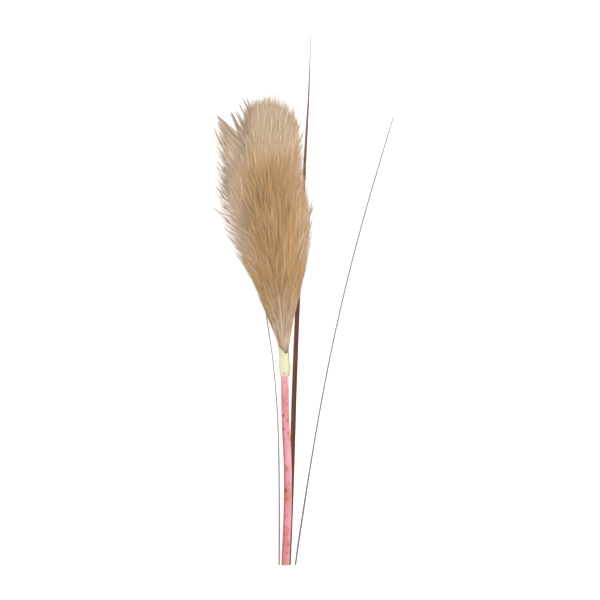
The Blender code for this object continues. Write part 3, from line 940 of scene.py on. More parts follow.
def make_hair():
    """A hair of unit length and half width along Z, its root at 0."""
    bpy.ops.object.select_all(action="DESELECT")
    bpy.ops.mesh.primitive_cone_add(vertices=3, radius1=1, radius2=1, depth=1, location=(0, 0, 0.5))
    obj = bpy.context.object
    apply_all(obj)
    pick(obj, lambda c: 0.1 < c.z < 0.9, "EDGE")
    bpy.ops.mesh.subdivide(number_cuts=HAIR_CUTS)
    pick(obj, lambda c: c.z > 0.99)
    bpy.ops.mesh.merge(type="CENTER")
    for ring, full in enumerate(HAIR_FULLNESS):
        height = ring / (HAIR_CUTS + 1)
        pick(obj, lambda c: abs(c.z - height) < 0.01)
        bpy.ops.transform.resize(value=(full, full, 1), center_override=(0, 0, height))
    leave_edit_mode()
    return obj


hair = make_hair()
HAIR_POINTS = np.array([v.co for v in hair.data.vertices])
HAIR_RING = np.round(HAIR_POINTS[:, 2] * (HAIR_CUTS + 1)).astype(int)
HAIR_SIZES = np.array([len(p.vertices) for p in hair.data.polygons])
HAIR_CORNERS = np.array([i for p in hair.data.polygons for i in p.vertices])
HAIR_TRIANGLES = int((HAIR_SIZES - 2).sum())
RINGS = HAIR_CUTS + 2
bpy.data.objects.remove(hair)
print("One hair:", len(HAIR_POINTS), "points,", HAIR_TRIANGLES, "triangles,", RINGS, "rings")

# %% [markdown]
# ## Copies of the hair
#
# A hair's path is four points. The copy's rings go to those points, each turned square to the path, and
# the whole plume's copies are worked out together as arrays, which takes a second where a loop would take
# minutes. Each copy gets one small upright strip of the map: its place across says which tint the hair
# has, and its height runs from root to tip. The finish reads nothing else.

# %% Lay copies along paths
TINT_HALF_WIDTH = 0.002
NEARLY_UP = np.array([0.12, 0.05, 1.0])


def hair_mesh(name, paths, half_widths, tints):
    """One mesh object with a copy of the hair along each path. paths and tints have a value for each ring."""
    count, points = len(paths), len(HAIR_POINTS)
    heading = np.gradient(paths, axis=1)
    heading /= np.linalg.norm(heading, axis=2, keepdims=True)
    level = np.cross(heading, NEARLY_UP)
    side = level / np.linalg.norm(level, axis=2, keepdims=True)
    outward = np.cross(heading, side)
    local = HAIR_POINTS[None, :, :] * half_widths[:, None, None]
    verts = paths[:, HAIR_RING] + side[:, HAIR_RING] * local[..., :1]
    verts += outward[:, HAIR_RING] * local[..., 1:2]
    mesh = bpy.data.meshes.new(name)
    mesh.vertices.add(count * points)
    mesh.vertices.foreach_set("co", verts.astype(np.float32).ravel())
    corners = (HAIR_CORNERS[None, :] + points * np.arange(count)[:, None]).ravel()
    mesh.loops.add(len(corners))
    mesh.loops.foreach_set("vertex_index", corners.astype(np.int32))
    sizes = np.tile(HAIR_SIZES, count)
    mesh.polygons.add(len(sizes))
    mesh.polygons.foreach_set("loop_start", (np.cumsum(sizes) - sizes).astype(np.int32))
    mesh.update(calc_edges=True)
    mesh.shade_smooth()
    layer = mesh.uv_layers.new(name="OFBake")
    across = tints[:, HAIR_RING[HAIR_CORNERS]] + TINT_HALF_WIDTH * HAIR_POINTS[None, HAIR_CORNERS, 0]
    up = np.broadcast_to(HAIR_POINTS[None, HAIR_CORNERS, 2], across.shape)
    layer.data.foreach_set("uv", np.stack([across, up], -1).astype(np.float32).ravel())
    obj = bpy.data.objects.new(name, mesh)
    bpy.context.scene.collection.objects.link(obj)
    return obj


# %% [markdown]
# ## The plume's finish
#
# Seen closely, pampas hair is straw gold in the middle of the plume, pinkish beige at the crown, greyer at
# the edges and taupe at the neck, with olive-brown where the seed husks sit and as painted shade in the
# gaps between locks, and grey-brown in the small sprays that stand out along the edges. Those colours are
# one ramp, and each part of a hair has its place on it. Hairs shade one another, so their own colour is
# lighter than the plume looks, except at the tips that stand clear of it in full light. A hair is a little
# darker at its root, as painted shade for the deep inside of the plume. The silk's soft shine is a little
# sheen.

# %% The tint ramp
HAIR_CARD = 0.75
TIP_BROWN, TAUPE, GREY_BEIGE, PINK_BEIGE, GOLDEN, BROWN, OLIVE = 0.02, 0.14, 0.28, 0.42, 0.60, 0.78, 0.97
TINTS = [
    (TIP_BROWN, "75685D"), (TAUPE, "A28973"), (GREY_BEIGE, "D9C3AC"), (PINK_BEIGE, "E2C9AF"),
    (GOLDEN, "D1AC78"), (BROWN, "B08655"), (OLIVE, "7E6036"),
]
# Painted shade: hairs darker at the root, where they lie deep in the plume.
ROOT_SHADE = [(0.0, "D6D0C6"), (0.35, "F2F0EC"), (0.75, "FFFFFF"), (1.0, "F0EDEB")]


def plume_finish():
    """The silky hair of the plume."""
    material, tree, shader = new_finish("plume_silk", 0.6, 0.25)
    _, u, v = own_map(tree, "OFBake")
    tint = colour_ramp(tree, u, TINTS, HAIR_CARD)
    shade = blend_colours(tree, 1.0, tint, colour_ramp(tree, v, ROOT_SHADE, 1), "MULTIPLY")
    tree.links.new(shade, shader.inputs["Base Color"])
    shader.inputs["Sheen Weight"].default_value = 0.30
    shader.inputs["Sheen Roughness"].default_value = 0.4
    return material


PLUME_SILK = plume_finish()
finish_piece(core, "plume", PLUME_SILK)

# %% [markdown]
# ## Locks of hair
#
# Hair grows on the plume's many small branches, so it lies in locks: each has a stem line, and hairs leave
# it one after another and spread a little, the outermost ending lowest, which draws a pointed shape. All
# hair starts near the ridge of the plume and sweeps out to its sides, like the barbs of a feather, most of
# all on the left, where it stands nearly half way across. A lock is given by where its tip is, how long it
# is, how far it rises through the plume (its lean) and how far it comes from the ridge (its sweep).

# %% Chance, and what all hairs share
HAIR_SEED = 7
GOLDEN_ANGLE = math.pi * (3 - math.sqrt(5))
GOLDEN_SHARE = (math.sqrt(5) - 1) / 2
TABLE_CLEARANCE = 0.0016
TABLE_SOFTNESS = 0.0012
REST_CLEARANCE = 0.0003
REST_X = -0.019
REST_HALF_SIZES = ((0.016, 0.011), (0.030, 0.020))
STAGGER = 0.55
CURL = 0.0005
LEAST_SHARE = 0.05
SWEEP_LEFT = curve_through([(0.28, 0.10), (0.36, 0.45), (0.43, 0.66), (0.50, 0.74), (0.57, 0.60)])
SWEEP_RIGHT = curve_through([(0.28, 0.05), (0.38, 0.12), (0.43, 0.22), (0.50, 0.40), (0.57, 0.42)])
draw = np.random.default_rng(HAIR_SEED)
TO_TIP = np.linspace(0, 1, RINGS)[None, :]


def golden_angles(count):
    """Angles that go round the shoot evenly, as seeds do in a seed head."""
    return np.arange(count) * GOLDEN_ANGLE % math.tau


def golden_rank(number):
    """Numbers from 0 to 1 that fill the range evenly and are never in order."""
    return number * GOLDEN_SHARE % 1


# %% Hair stays above the table
def above_table(points):
    """Lifts points to just above the table, and lower on the spot that the plume rests on."""
    x, y = points[..., 0], points[..., 1]
    across, lengthwise = REST_HALF_SIZES
    inside = smooth_step(*across, np.abs(x - REST_X)) * smooth_step(*lengthwise, np.abs(y - REST_ALONG))
    floor = TABLE_CLEARANCE + (REST_CLEARANCE - TABLE_CLEARANCE) * inside
    lifted = points.copy()
    lifted[..., 2] = floor + np.logaddexp(0, (points[..., 2] - floor) / TABLE_SOFTNESS) * TABLE_SOFTNESS
    return lifted


# %% Tints by place
# How far the tint goes toward grey on each side, and the ranges over which the zones change.
RIGHT_GREY = 0.40
RIGHT_GREY_FROM_TO = (0.45, 1.0)
LEFT_GREY = 0.85
LEFT_GREY_FROM_TO = (0.32, 0.92)
GREY_GROWS = (0.33, 0.41)
NECK_ENDS = (0.362, 0.290)
CROWN_STARTS = (0.475, 0.530)
OUTLINE_EDGE = (0.94, 1.07)


def zone_tint(points):
    """The tint that belongs to a place: golden, greyer at the edges, taupe at the neck, pink at the crown."""
    along = points[..., 1]
    aside = points[..., 0] - shoot_x(along)
    share = np.abs(aside) / widths(reach, along, aside, 1)[0]
    grey_right = RIGHT_GREY * smooth_step(*RIGHT_GREY_FROM_TO, share)
    grey_left = LEFT_GREY * smooth_step(*LEFT_GREY_FROM_TO, share)
    edge = np.where(aside > 0, grey_right, grey_left) * (0.1 + 0.9 * smooth_step(*GREY_GROWS, along))
    neck = smooth_step(*NECK_ENDS, along) * (1 - 0.3 * smooth_step(0.4, 0.9, share))
    neck = np.maximum(neck, 0.30 * smooth_step(0.70, 1.0, share) * smooth_step(0.44, 0.36, along))
    tint = GOLDEN + 0.02 + (GREY_BEIGE - GOLDEN) * edge
    tint = tint + 0.10 * smooth_step(0.395, 0.335, along) + 0.05 * smooth_step(0.430, 0.460, along)
    tint = tint + (PINK_BEIGE - tint) * smooth_step(*CROWN_STARTS, along)
    return np.where(neck > draw.random(points.shape[:-2] + (1,)), TAUPE + 0.04, tint)


def beyond(points):
    """0 inside the plume's outline, rising to 1 a little outside it."""
    x, along, z = points[..., 0], points[..., 1], points[..., 2]
    aside, over = x - shoot_x(along), z - shoot_z(along)
    side, height = widths(reach, along, aside, over)
    out = smooth_step(*OUTLINE_EDGE, np.hypot(aside / side, over / height))
    return out * (1 - 0.6 * np.clip(over / height, 0, 1) ** 2)


# %% Hairs in their locks
def along_stem(count, stagger, lengths, first=0.0, power=1.2):
    """Where hairs lie along their stem, from 0 to 1: the place of each one's tip, and of all its rings."""
    end = 1 - stagger * draw.random((count, 1)) ** power
    begin = np.maximum(first, end - draw.uniform(*lengths, (count, 1)))
    return end, begin + (end - begin) * TO_TIP


def lock_hairs(lock, hairs):
    """Paths of the hairs of many locks. lock is a dict of arrays, one value a lock."""
    each = np.repeat(np.arange(len(lock["tip"])), hairs)
    take = {name: values[each][:, None] for name, values in lock.items()}
    count = len(each)
    end, stem = along_stem(count, STAGGER if hairs > 1 else 0.0, (0.50, 0.75))
    along = take["tip"] - take["length"] * (1 - stem)
    spread = np.clip(draw.normal(0, 0.55, (count, 1)), -1.3, 1.3)
    phase = draw.uniform(0, math.tau, (count, 1))
    sideways = take["half_width"] * spread * ((1 - end) ** 0.6 + 0.16) * (0.25 + 0.75 * TO_TIP)
    sideways = sideways + CURL * TO_TIP**1.5 * np.sin(phase + 5 * TO_TIP)
    share = take["share"] - take["lean"] * (1 - stem) + 0.015 * draw.normal(0, 1, (count, 1)) * TO_TIP
    share = np.maximum(share, LEAST_SHARE)
    from_ridge = np.cos(take["angle"]) * take["share"] * (1 - take["sweep"] * (1 - stem))
    turned = np.arccos(np.clip(from_ridge / share, -1, 1)) * np.where(np.sin(take["angle"]) < 0, -1, 1)
    side, _ = widths(flow, along, np.cos(turned), np.sin(turned))
    return plume_points(along, turned + sideways / np.maximum(0.004, side * share), share), each


# %% Places spread evenly, and tints a little off the zone's own
def sweep_at(along, angle):
    """How far hair comes from the ridge, at places of the plume."""
    return np.where(np.cos(angle) > 0, SWEEP_RIGHT(along), SWEEP_LEFT(along))


def spread_over(count, low, high):
    """Even places over the plume's surface between two distances along: distances and angles."""
    places = np.linspace(low, high, 200)
    room = np.cumsum(sum(line(places) for line in reach))
    along = np.interp((np.arange(count) + 0.5) / count, room / room[-1], places)
    return along, golden_angles(count)


def spread_across(count, out):
    """Even places over the plume's cross-section: angles, and shares of its width up to the largest."""
    return golden_angles(count), out * np.sqrt((np.arange(count) + 0.5) / count)


def tinted(paths, each, lock_spread, hair_spread):
    """Tints for hairs: the zone's own, with each lock and each hair a little off it."""
    by_lock = draw.normal(0, lock_spread, each.max() + 1)[each]
    own = by_lock + draw.normal(0, hair_spread, len(paths))
    return zone_tint(paths) + own[:, None]


# %% The list of all hairs, and how thick each kind is
# Half widths, from the thinnest hair to the thickest of each kind.
BODY_HAIR = (0.00011, 0.00018)
SLEEK_HAIR = (0.00011, 0.00016)
FINE_HAIR = (0.00010, 0.00016)
TUFT_HAIR = (0.00010, 0.00015)
EDGE_HAIR = (0.00009, 0.00014)
WISP_HAIR = (0.00007, 0.00011)
CROWN_WISP_HAIR = (0.00006, 0.00010)
RIM = 0.08
RIM_STRENGTH = 0.86
GOLDEN_FROM = 0.5
strands = []


def keep(name, paths, half_widths, tints, clear=None):
    """Adds hairs to the list. clear, from 0 to 1 a ring, darkens the rings that stand clear of the plume."""
    half_widths = draw.uniform(*half_widths, len(paths))
    tints = np.broadcast_to(tints.reshape(len(paths), -1), (len(paths), RINGS))
    clear = beyond(paths) if clear is None else clear
    dark = np.where(tints.mean(axis=1, keepdims=True) > GOLDEN_FROM, OLIVE, RIM)
    tints = tints + RIM_STRENGTH * (dark - tints) * clear
    strands.append((name, above_table(paths), half_widths, np.clip(tints, 0.004, 0.996)))


def grow(name, locks, hairs, half_widths, lock_spread, hair_spread, clear=None):
    """Grows hairs on locks and keeps them. clear has a row for each lock."""
    paths, each = lock_hairs(locks, hairs)
    tints = tinted(paths, each, lock_spread, hair_spread)
    keep(name, paths, half_widths, tints, None if clear is None else clear[each])


def count_hairs():
    """Prints how many hairs of each kind there are so far."""
    counts = {}
    for name, paths, _, _ in strands:
        counts[name] = counts.get(name, 0) + len(paths)
    print("Hairs so far:", counts)


# %% Even fur, and locks over it
FUR_HAIRS = 33000
BODY_LOCKS = 500
BODY_HAIRS = 54
TUFTS = 100
TUFT_HAIRS = 18
HAIR_FOOT = 0.253


def grown(along):
    """0 for hair that ends at the neck, rising to 1 where the plume opens."""
    return smooth_step(0.285, 0.360, along)


def ragged(along):
    """0 below the plume's ragged part and 1 in it."""
    return smooth_step(0.36, 0.41, along)


def left_edge(along, angle):
    """1 at the plume's ragged left edge, falling to 0 round the shoot and below the widest part."""
    return np.maximum(0, -np.cos(angle)) * smooth_step(0.385, 0.425, along)


def fur():
    """Single hairs spread evenly, which close the plume between its locks."""
    tip, angle = spread_over(FUR_HAIRS, 0.285, 0.545)
    length = np.minimum(draw.uniform(0.045, 0.080, FUR_HAIRS), tip - HAIR_FOOT)
    beside = np.abs(np.cos(angle)) + 3.4 * left_edge(tip, angle)
    return {
        "tip": tip,
        "angle": angle,
        "length": length,
        "share": outline_share(tip, angle) * (1 - 0.04 * beside - 0.20 * draw.random(FUR_HAIRS) ** 1.3),
        "lean": (0.06 + 0.24 * grown(tip)) * draw.uniform(0.7, 1.2, FUR_HAIRS),
        "sweep": sweep_at(tip, angle) * draw.uniform(0.75, 1.15, FUR_HAIRS),
        "half_width": np.full(FUR_HAIRS, 0.003),
    }


def body_locks():
    """Soft locks over the fur, a little further in on the left, where small sprays stand over them."""
    tip, angle = spread_over(BODY_LOCKS, 0.290, 0.540)
    length = np.minimum(draw.uniform(0.055, 0.085, BODY_LOCKS), tip - HAIR_FOOT)
    proud = 0.02 * ragged(tip) - 0.14 * left_edge(tip, angle)
    return {
        "tip": tip,
        "angle": angle,
        "length": length,
        "share": outline_share(tip, angle) * (draw.uniform(0.89, 0.98, BODY_LOCKS) + proud),
        "lean": (0.06 + 0.24 * grown(tip)) * draw.uniform(0.8, 1.2, BODY_LOCKS),
        "sweep": sweep_at(tip, angle) * draw.uniform(0.85, 1.10, BODY_LOCKS),
        "half_width": draw.uniform(0.0022, 0.0065, BODY_LOCKS) * (0.35 + 0.65 * grown(tip)),
    }


def tufts():
    """Narrow pointed locks that stand a little off the surface all round."""
    tip, angle = spread_over(TUFTS, 0.380, 0.550)
    return {
        "tip": tip,
        "angle": angle,
        "length": draw.uniform(0.035, 0.055, TUFTS),
        "share": outline_share(tip, angle) * draw.uniform(0.93, 1.00, TUFTS),
        "lean": draw.uniform(0.30, 0.45, TUFTS),
        "sweep": sweep_at(tip, angle) * draw.uniform(0.9, 1.15, TUFTS),
        "half_width": draw.uniform(0.0015, 0.0030, TUFTS),
    }


grow("tufts", tufts(), TUFT_HAIRS, TUFT_HAIR, 0.03, 0.05)
grow("fur", fur(), 1, BODY_HAIR, 0.0, 0.06)
grow("body_locks", body_locks(), BODY_HAIRS, BODY_HAIR, 0.025, 0.05)
count_hairs()

# %% [markdown]
# ## The crown, the neck and the streaks
#
# At the crown, hairs from the whole width of the plume end together in a soft fringe, so their tips are
# spread over the plume's cross-section and not over its surface. At the neck the hairs are long, straight
# and sleek where they come out of the sheath. Dark narrow locks over the middle are partly the husks that
# show through and partly painted shade in the gaps between locks, with some pale ones beside them.

# %% Crown
CROWN_FUR = 11000
CROWN_LOCKS = 110
CROWN_HAIRS = 50


def crown(count, out, half_width):
    """Locks that end on the crown, spread over its cross-section."""
    angle, share = spread_across(count, out)
    tip = crown_end(angle, share)
    return {
        "tip": tip + np.clip(draw.normal(-0.006, 0.005, count), -0.018, 0.004),
        "angle": angle,
        "length": draw.uniform(0.050, 0.080, count),
        "share": share,
        "lean": 0.02 + 0.14 * share,
        "sweep": 0.7 * sweep_at(tip, angle),
        "half_width": draw.uniform(*half_width, count),
    }


def fringe(angle, share):
    """1 for crown hairs in the fringe, falling to 0 for those on the upper and lower sides."""
    return smooth_step(0.75, 0.35, share * np.abs(np.sin(angle)))


def crown_clear(locks):
    """How far the crown's tips stand clear: only a little, and only in the fringe."""
    return 0.38 * TO_TIP**5 * fringe(locks["angle"], locks["share"])[:, None]


crown_fur = crown(CROWN_FUR, 0.97, (0.002, 0.004))
grow("crown_fur", crown_fur, 1, FINE_HAIR, 0.0, 0.08, crown_clear(crown_fur))
crown_locks = crown(CROWN_LOCKS, 0.95, (0.004, 0.007))
grow("crown_locks", crown_locks, CROWN_HAIRS, FINE_HAIR, 0.03, 0.05, crown_clear(crown_locks))
count_hairs()

# %% Neck
NECK_LOCKS = 90
NECK_HAIRS = 40
NECK_ROOT = 0.2515


def neck_locks():
    """Long sleek locks that start inside the sheath's mouth."""
    tip = draw.uniform(0.285, 0.385, NECK_LOCKS)
    return {
        "tip": tip,
        "angle": golden_angles(NECK_LOCKS),
        "length": tip - NECK_ROOT,
        "share": draw.uniform(0.86, 1.0, NECK_LOCKS),
        "lean": draw.uniform(0.02, 0.14, NECK_LOCKS),
        "sweep": draw.uniform(0.0, 0.1, NECK_LOCKS),
        "half_width": draw.uniform(0.0010, 0.0022, NECK_LOCKS),
    }


grow("neck", neck_locks(), NECK_HAIRS, SLEEK_HAIR, 0.05, 0.05)
count_hairs()

# %% Dark and pale streaks
DARK_STREAKS = 170
PALE_STREAKS = 24
STREAK_HAIRS = 20


def streak_locks(count, tip_range):
    """Narrow locks on the surface of the plume's middle."""
    tip = draw.uniform(*tip_range, count)
    angle = np.where(draw.random(count) < 0.6, draw.normal(1.61, 0.30, count), draw.normal(-1.57, 0.6, count))
    return {
        "tip": tip,
        "angle": angle,
        "length": draw.uniform(0.030, 0.060, count),
        "share": outline_share(tip, angle) * draw.uniform(0.95, 1.0, count),
        "lean": draw.uniform(0.12, 0.22, count),
        "sweep": sweep_at(tip, angle),
        "half_width": draw.uniform(0.0004, 0.0013, count),
    }


def streaks(name, count, tip_range, tint_range):
    """Streaks of one kind, each lock with one tint."""
    paths, each = lock_hairs(streak_locks(count, tip_range), STREAK_HAIRS)
    tints = draw.uniform(*tint_range, count)[each]
    keep(name, paths, SLEEK_HAIR, tints)


# Dark streaks: partly husks, partly painted shade in the gaps between locks.
streaks("dark_streaks", DARK_STREAKS, (0.330, 0.490), (0.72, 0.93))
streaks("pale_streaks", PALE_STREAKS, (0.320, 0.520), (0.50, 0.56))
count_hairs()

# %% [markdown]
# ## Sprays and stray hairs
#
# At the upper left a wide lobe and a narrow spray part from the head, and the lobe and the whole left edge
# end in small sprays that stand out like the teeth of a comb. The right edge has fewer and steeper ones.
# Each is a straight stem with hairs along it. Last come the single hairs that stand clear of the outline,
# as on any plume that has been handled.

# %% The lobe, and sprays placed one by one
LOBE_FAN = 4200
LOBE_LOCKS = 36
LOBE_HAIRS = 56
LOBE_ROOTS = ((-0.0270, 0.4980, 0.050), (-0.0330, 0.3950, 0.040))
LOBE_TIPS = ((-0.0848, 0.5525, 0.042), (-0.0755, 0.4550, 0.029))
LOBE_EDGE = curve_through([(0.0, 0.0), (0.2, 0.0018), (0.5, 0.0020), (1.0, 0.0)])
# Each spray's root and tip, its half width, its number of hairs and its tint.
SPRAYS = [
    ((-0.0300, 0.4960, 0.051), (-0.0852, 0.5535, 0.043), 0.0035, 360, 0.24),
    ((-0.0370, 0.4950, 0.052), (-0.0668, 0.5570, 0.050), 0.0046, 620, 0.22),
    ((-0.0360, 0.5120, 0.052), (-0.0640, 0.5600, 0.050), 0.0016, 60, 0.15),
    ((-0.0330, 0.5200, 0.048), (-0.0575, 0.5680, 0.047), 0.0022, 110, 0.17),
    ((-0.0320, 0.5300, 0.040), (-0.0525, 0.5750, 0.040), 0.0022, 110, 0.17),
    ((-0.0380, 0.5150, 0.036), (-0.0600, 0.5590, 0.034), 0.0022, 130, 0.22),
    ((-0.0380, 0.5080, 0.044), (-0.0575, 0.5500, 0.044), 0.0022, 130, 0.28),
    ((-0.0380, 0.5000, 0.044), (-0.0560, 0.5400, 0.044), 0.0022, 130, 0.30),
    ((-0.0300, 0.5320, 0.044), (-0.0480, 0.5750, 0.046), 0.0026, 150, 0.20),
    ((-0.0260, 0.4850, 0.058), (-0.0505, 0.5350, 0.050), 0.0060, 320, 0.36),
    ((-0.0560, 0.5235, 0.049), (-0.0775, 0.5480, 0.046), 0.0012, 70, 0.25),
    ((-0.0460, 0.5150, 0.051), (-0.0672, 0.5380, 0.048), 0.0014, 80, 0.27),
    ((-0.0390, 0.5070, 0.052), (-0.0603, 0.5325, 0.049), 0.0014, 80, 0.28),
]
SPRAY_COMB = 0.35
LOBE_CLEAR = 0.5 * TO_TIP**3
LOBE_TINT = 0.40 - 0.13 * TO_TIP
SPRAY_CLEAR = 0.70 * TO_TIP**3


# %% Hairs of one straight spray
def spray_hairs(root, tip, half_width, count):
    """Paths of the hairs along one straight spray."""
    root, tip = np.array(root), np.array(tip)
    line = tip - root
    ahead = line / np.linalg.norm(line)
    up = np.array([0, 0, 1.0])
    side = np.cross(ahead, up)
    side /= np.linalg.norm(side)
    end, stem = along_stem(count, 0.70, (0.30, 0.60), -0.05)
    turn = draw.uniform(0, math.tau, (count, 1))
    far = np.sqrt(draw.random((count, 1)))
    out = half_width * far * ((1 - end) ** 0.55 + 0.05) * (0.25 + 0.75 * TO_TIP)
    comb = SPRAY_COMB * half_width * np.maximum(0, -np.cos(turn)) * far * TO_TIP**2
    across = out * np.cos(turn) - comb + 0.0004 * np.sin(4 * TO_TIP + turn * 5) * TO_TIP
    tall = out * np.sin(turn) * 0.85
    return root + line * stem[..., None] + side * across[..., None] + up * tall[..., None]


# %% The lobe's fan of hair, and its sprays
def part_way(ends, place):
    """The point that far along a straight line from one end to the other."""
    return np.array(ends[0]) * (1 - place) + np.array(ends[1]) * place


def lobe_line(place):
    """Root and tip of the lobe's hair at places from 0, its upper side, to 1, its lower end."""
    place = np.asarray(place, float)[..., None]
    edge = LOBE_EDGE(place) * np.array([1.0, 0, 0])
    return part_way(LOBE_ROOTS, place), part_way(LOBE_TIPS, place) + edge


def lobe_fan(count):
    """Even hair from the head to the lobe's left edge, thin at its upper side and soft at its tips."""
    place = draw.random(count) ** 1.1
    root, tip = lobe_line(place)
    _, stem = along_stem(count, 0.50, (0.40, 0.65), 0.0, 1.1)
    thick = 0.0010 + 0.0056 * smooth_step(0.0, 0.50, place)
    sizes = np.stack([np.full(count, 0.0008), np.full(count, 0.0010), thick], -1)
    loose = (draw.normal(0, 1, (count, 3)) * sizes)[:, None] * (0.6 + 0.4 * TO_TIP[..., None])
    return root[:, None] + (tip - root)[:, None] * stem[..., None] + loose


def lobe_sprays(count, hairs):
    """Narrow sprays side by side over the fan."""
    for number in range(count):
        place = ((number + draw.random()) / count) ** 1.15
        root, tip = lobe_line(place)
        loose = draw.normal(0, 1, 3) * (0.0008, 0.0008, 0.0010 + 0.0050 * min(1, 4 * place))
        tip = tip + loose + (0.003 * draw.random(), 0, 0)
        paths = spray_hairs(root + loose, tip, draw.uniform(0.0022, 0.0040), hairs)
        own = draw.normal(0, 0.02) + draw.normal(0, 0.06, (hairs, 1))
        keep("lobe", paths, FINE_HAIR, LOBE_TINT + own, LOBE_CLEAR)


fan = lobe_fan(LOBE_FAN)
keep("lobe_fan", fan, FINE_HAIR, LOBE_TINT + draw.normal(0, 0.06, (LOBE_FAN, 1)), LOBE_CLEAR)
lobe_sprays(LOBE_LOCKS, LOBE_HAIRS)
for root, tip, half_width, count, tint in SPRAYS:
    paths = spray_hairs(root, tip, half_width, count)
    keep("sprays", paths, FINE_HAIR, draw.normal(tint, 0.05, count), SPRAY_CLEAR)
count_hairs()

# %% Small sprays along the edges
LEFT_TEETH = 310
RIGHT_TEETH = 175
LOBE_TEETH = 72
CROWN_TEETH = 160
TOOTH_HAIRS = 22
TOOTH_RISE = 0.003
TOOTH_LENGTH = (0.018, 0.032)
TOOTH_HALF_WIDTH = (0.0004, 0.0010)
GREY_TOOTH = (0.20, 0.34)
GOLDEN_TOOTH = (0.62, 0.74)
# Distance along, and how many degrees a small spray leans out there.
LEFT_TILTS = [(0.31, 28.0), (0.36, 38.0), (0.39, 48.0), (0.43, 55.0), (0.475, 54.0), (0.52, 42.0)]
LEFT_TILT = curve_through(LEFT_TILTS)
RIGHT_TILT = curve_through([(0.31, 15.0), (0.40, 18.0), (0.45, 22.0), (0.53, 19.0)])
# Place across the crown from -1 to 1, and degrees.
CROWN_TILT = curve_through([(-1.0, -34.0), (-0.6, -14.0), (0.0, -2.0), (0.6, 8.0), (1.0, 20.0)])


def tooth(tip, tilt, length, half_width, tint, clear=None):
    """One small spray that ends at a tip and leans by an angle in degrees, to the left below zero."""
    lean = math.radians(tilt)
    root = (tip[0] - length * math.sin(lean), tip[1] - length * math.cos(lean), tip[2] + TOOTH_RISE)
    paths = spray_hairs(root, tip, half_width, TOOTH_HAIRS)
    keep("teeth", paths, EDGE_HAIR, draw.normal(tint, 0.03, TOOTH_HAIRS), clear)


def edge_teeth(side, count, low, high, tilt, out):
    """Teeth on one edge: side is -1 for the left and 1 for the right, out is how far they stand proud."""
    for number in range(count):
        along = low + (high - low) * (number + draw.random()) / count
        height = float(np.clip(draw.normal(0.06, 0.25), -0.6, 0.65))
        proud = out * golden_rank(number) ** 2.4 * float(smooth_step(low - 0.020, low + 0.055, along))
        wide, tall = widths(reach, along, side, height)
        beside = float(wide) + proud - 0.003
        x = float(shoot_x(along)) + side * beside * math.sqrt(1 - height**2)
        z = float(shoot_z(along)) + height * float(tall)
        turned = side * float(tilt(along)) * draw.uniform(0.80, 1.15)
        grey = draw.random() < float(smooth_step(0.34, 0.40, along))
        own = draw.uniform(*(GREY_TOOTH if grey else GOLDEN_TOOTH))
        tooth((x, along, z), turned, draw.uniform(*TOOTH_LENGTH), draw.uniform(*TOOTH_HALF_WIDTH), own)


def lobe_teeth(count):
    """Teeth on the lobe's left edge."""
    for number in range(count):
        place = (number + draw.random()) / count
        proud = 0.011 * golden_rank(number) ** 2.2 * min(1, 3 * place)
        tip = lobe_line(place)[1] + (-proud, 0, draw.normal(0, 0.003))
        length = draw.uniform(0.016, 0.028)
        width, tint = draw.uniform(*TOOTH_HALF_WIDTH), draw.uniform(0.14, 0.26)
        tooth(tuple(tip), draw.uniform(-50, -28), length, width, tint, LOBE_CLEAR)


def crown_teeth(count):
    """Teeth over the crown."""
    angle, share = spread_across(count, 0.98)
    tips = plume_points(crown_end(angle, share), angle, share)
    ranks = golden_rank(np.arange(count))
    over = 0.10 * (1 - fringe(angle, share))
    for tip, beside, rank, paler in zip(tips, share * np.cos(angle), ranks, over):
        tip = tip + (0, 0.016 * rank**2 - 0.002, 0)
        turned = float(CROWN_TILT(beside)) + draw.normal(0, 5)
        length, width = draw.uniform(*TOOTH_LENGTH), draw.uniform(0.0004, 0.0009)
        tooth(tuple(tip), turned, length, width, draw.uniform(0.15, 0.24) + paler, 0.0)


edge_teeth(-1, LEFT_TEETH, 0.364, 0.492, LEFT_TILT, 0.015)
edge_teeth(1, RIGHT_TEETH, 0.390, 0.560, RIGHT_TILT, 0.011)
lobe_teeth(LOBE_TEETH)
crown_teeth(CROWN_TEETH)
count_hairs()

# %% Single stray hairs
WISPS = 1800
CROWN_WISPS = 2300
# Each group's root and tip, and its number of hairs.
STRAYS = [
    ((-0.070, 0.428, 0.030), (-0.094, 0.4450, 0.031), 9),
    ((-0.073, 0.508, 0.036), (-0.0895, 0.5440, 0.038), 14),
    ((-0.073, 0.455, 0.030), (-0.0885, 0.4720, 0.031), 5),
    ((0.030, 0.430, 0.030), (0.0385, 0.4560, 0.032), 4),
]


def wisp_hairs():
    """Thin hairs that stand a little out of the outline all round."""
    tip, angle = spread_over(WISPS, 0.315, 0.565)
    left = np.maximum(0, -np.cos(angle)) * ragged(tip)
    proud = (0.08 + 0.05 * left) * (0.2 + 0.8 * ragged(tip)) * draw.random(WISPS)
    return {
        "tip": tip,
        "angle": angle,
        "length": draw.uniform(0.040, 0.060, WISPS),
        "share": outline_share(tip, angle) * (0.99 + proud),
        "lean": 0.30 * draw.uniform(0.6, 1.4, WISPS),
        "sweep": sweep_at(tip, angle) * draw.uniform(0.9, 1.2, WISPS),
        "half_width": np.full(WISPS, 0.006),
    }


def crown_wisps():
    """Thin hairs that stand up a little over the crown."""
    locks = crown(CROWN_WISPS, 0.98, (0.003, 0.006))
    locks["tip"] = crown_end(locks["angle"], locks["share"]) + 0.013 * draw.random(CROWN_WISPS) ** 1.5 - 0.002
    return locks


def stray_hairs(root, tip, count):
    """A few hairs from one place to nearly the same tip, curving on the way."""
    root, tip = np.array(root), np.array(tip)
    ends = tip + draw.normal(0, 0.0012, (count, 1, 3))
    sag = np.array([0.0, -0.003, 0.0]) * np.sin(math.pi * TO_TIP)[..., None]
    return root + (ends - root) * TO_TIP[..., None] + sag


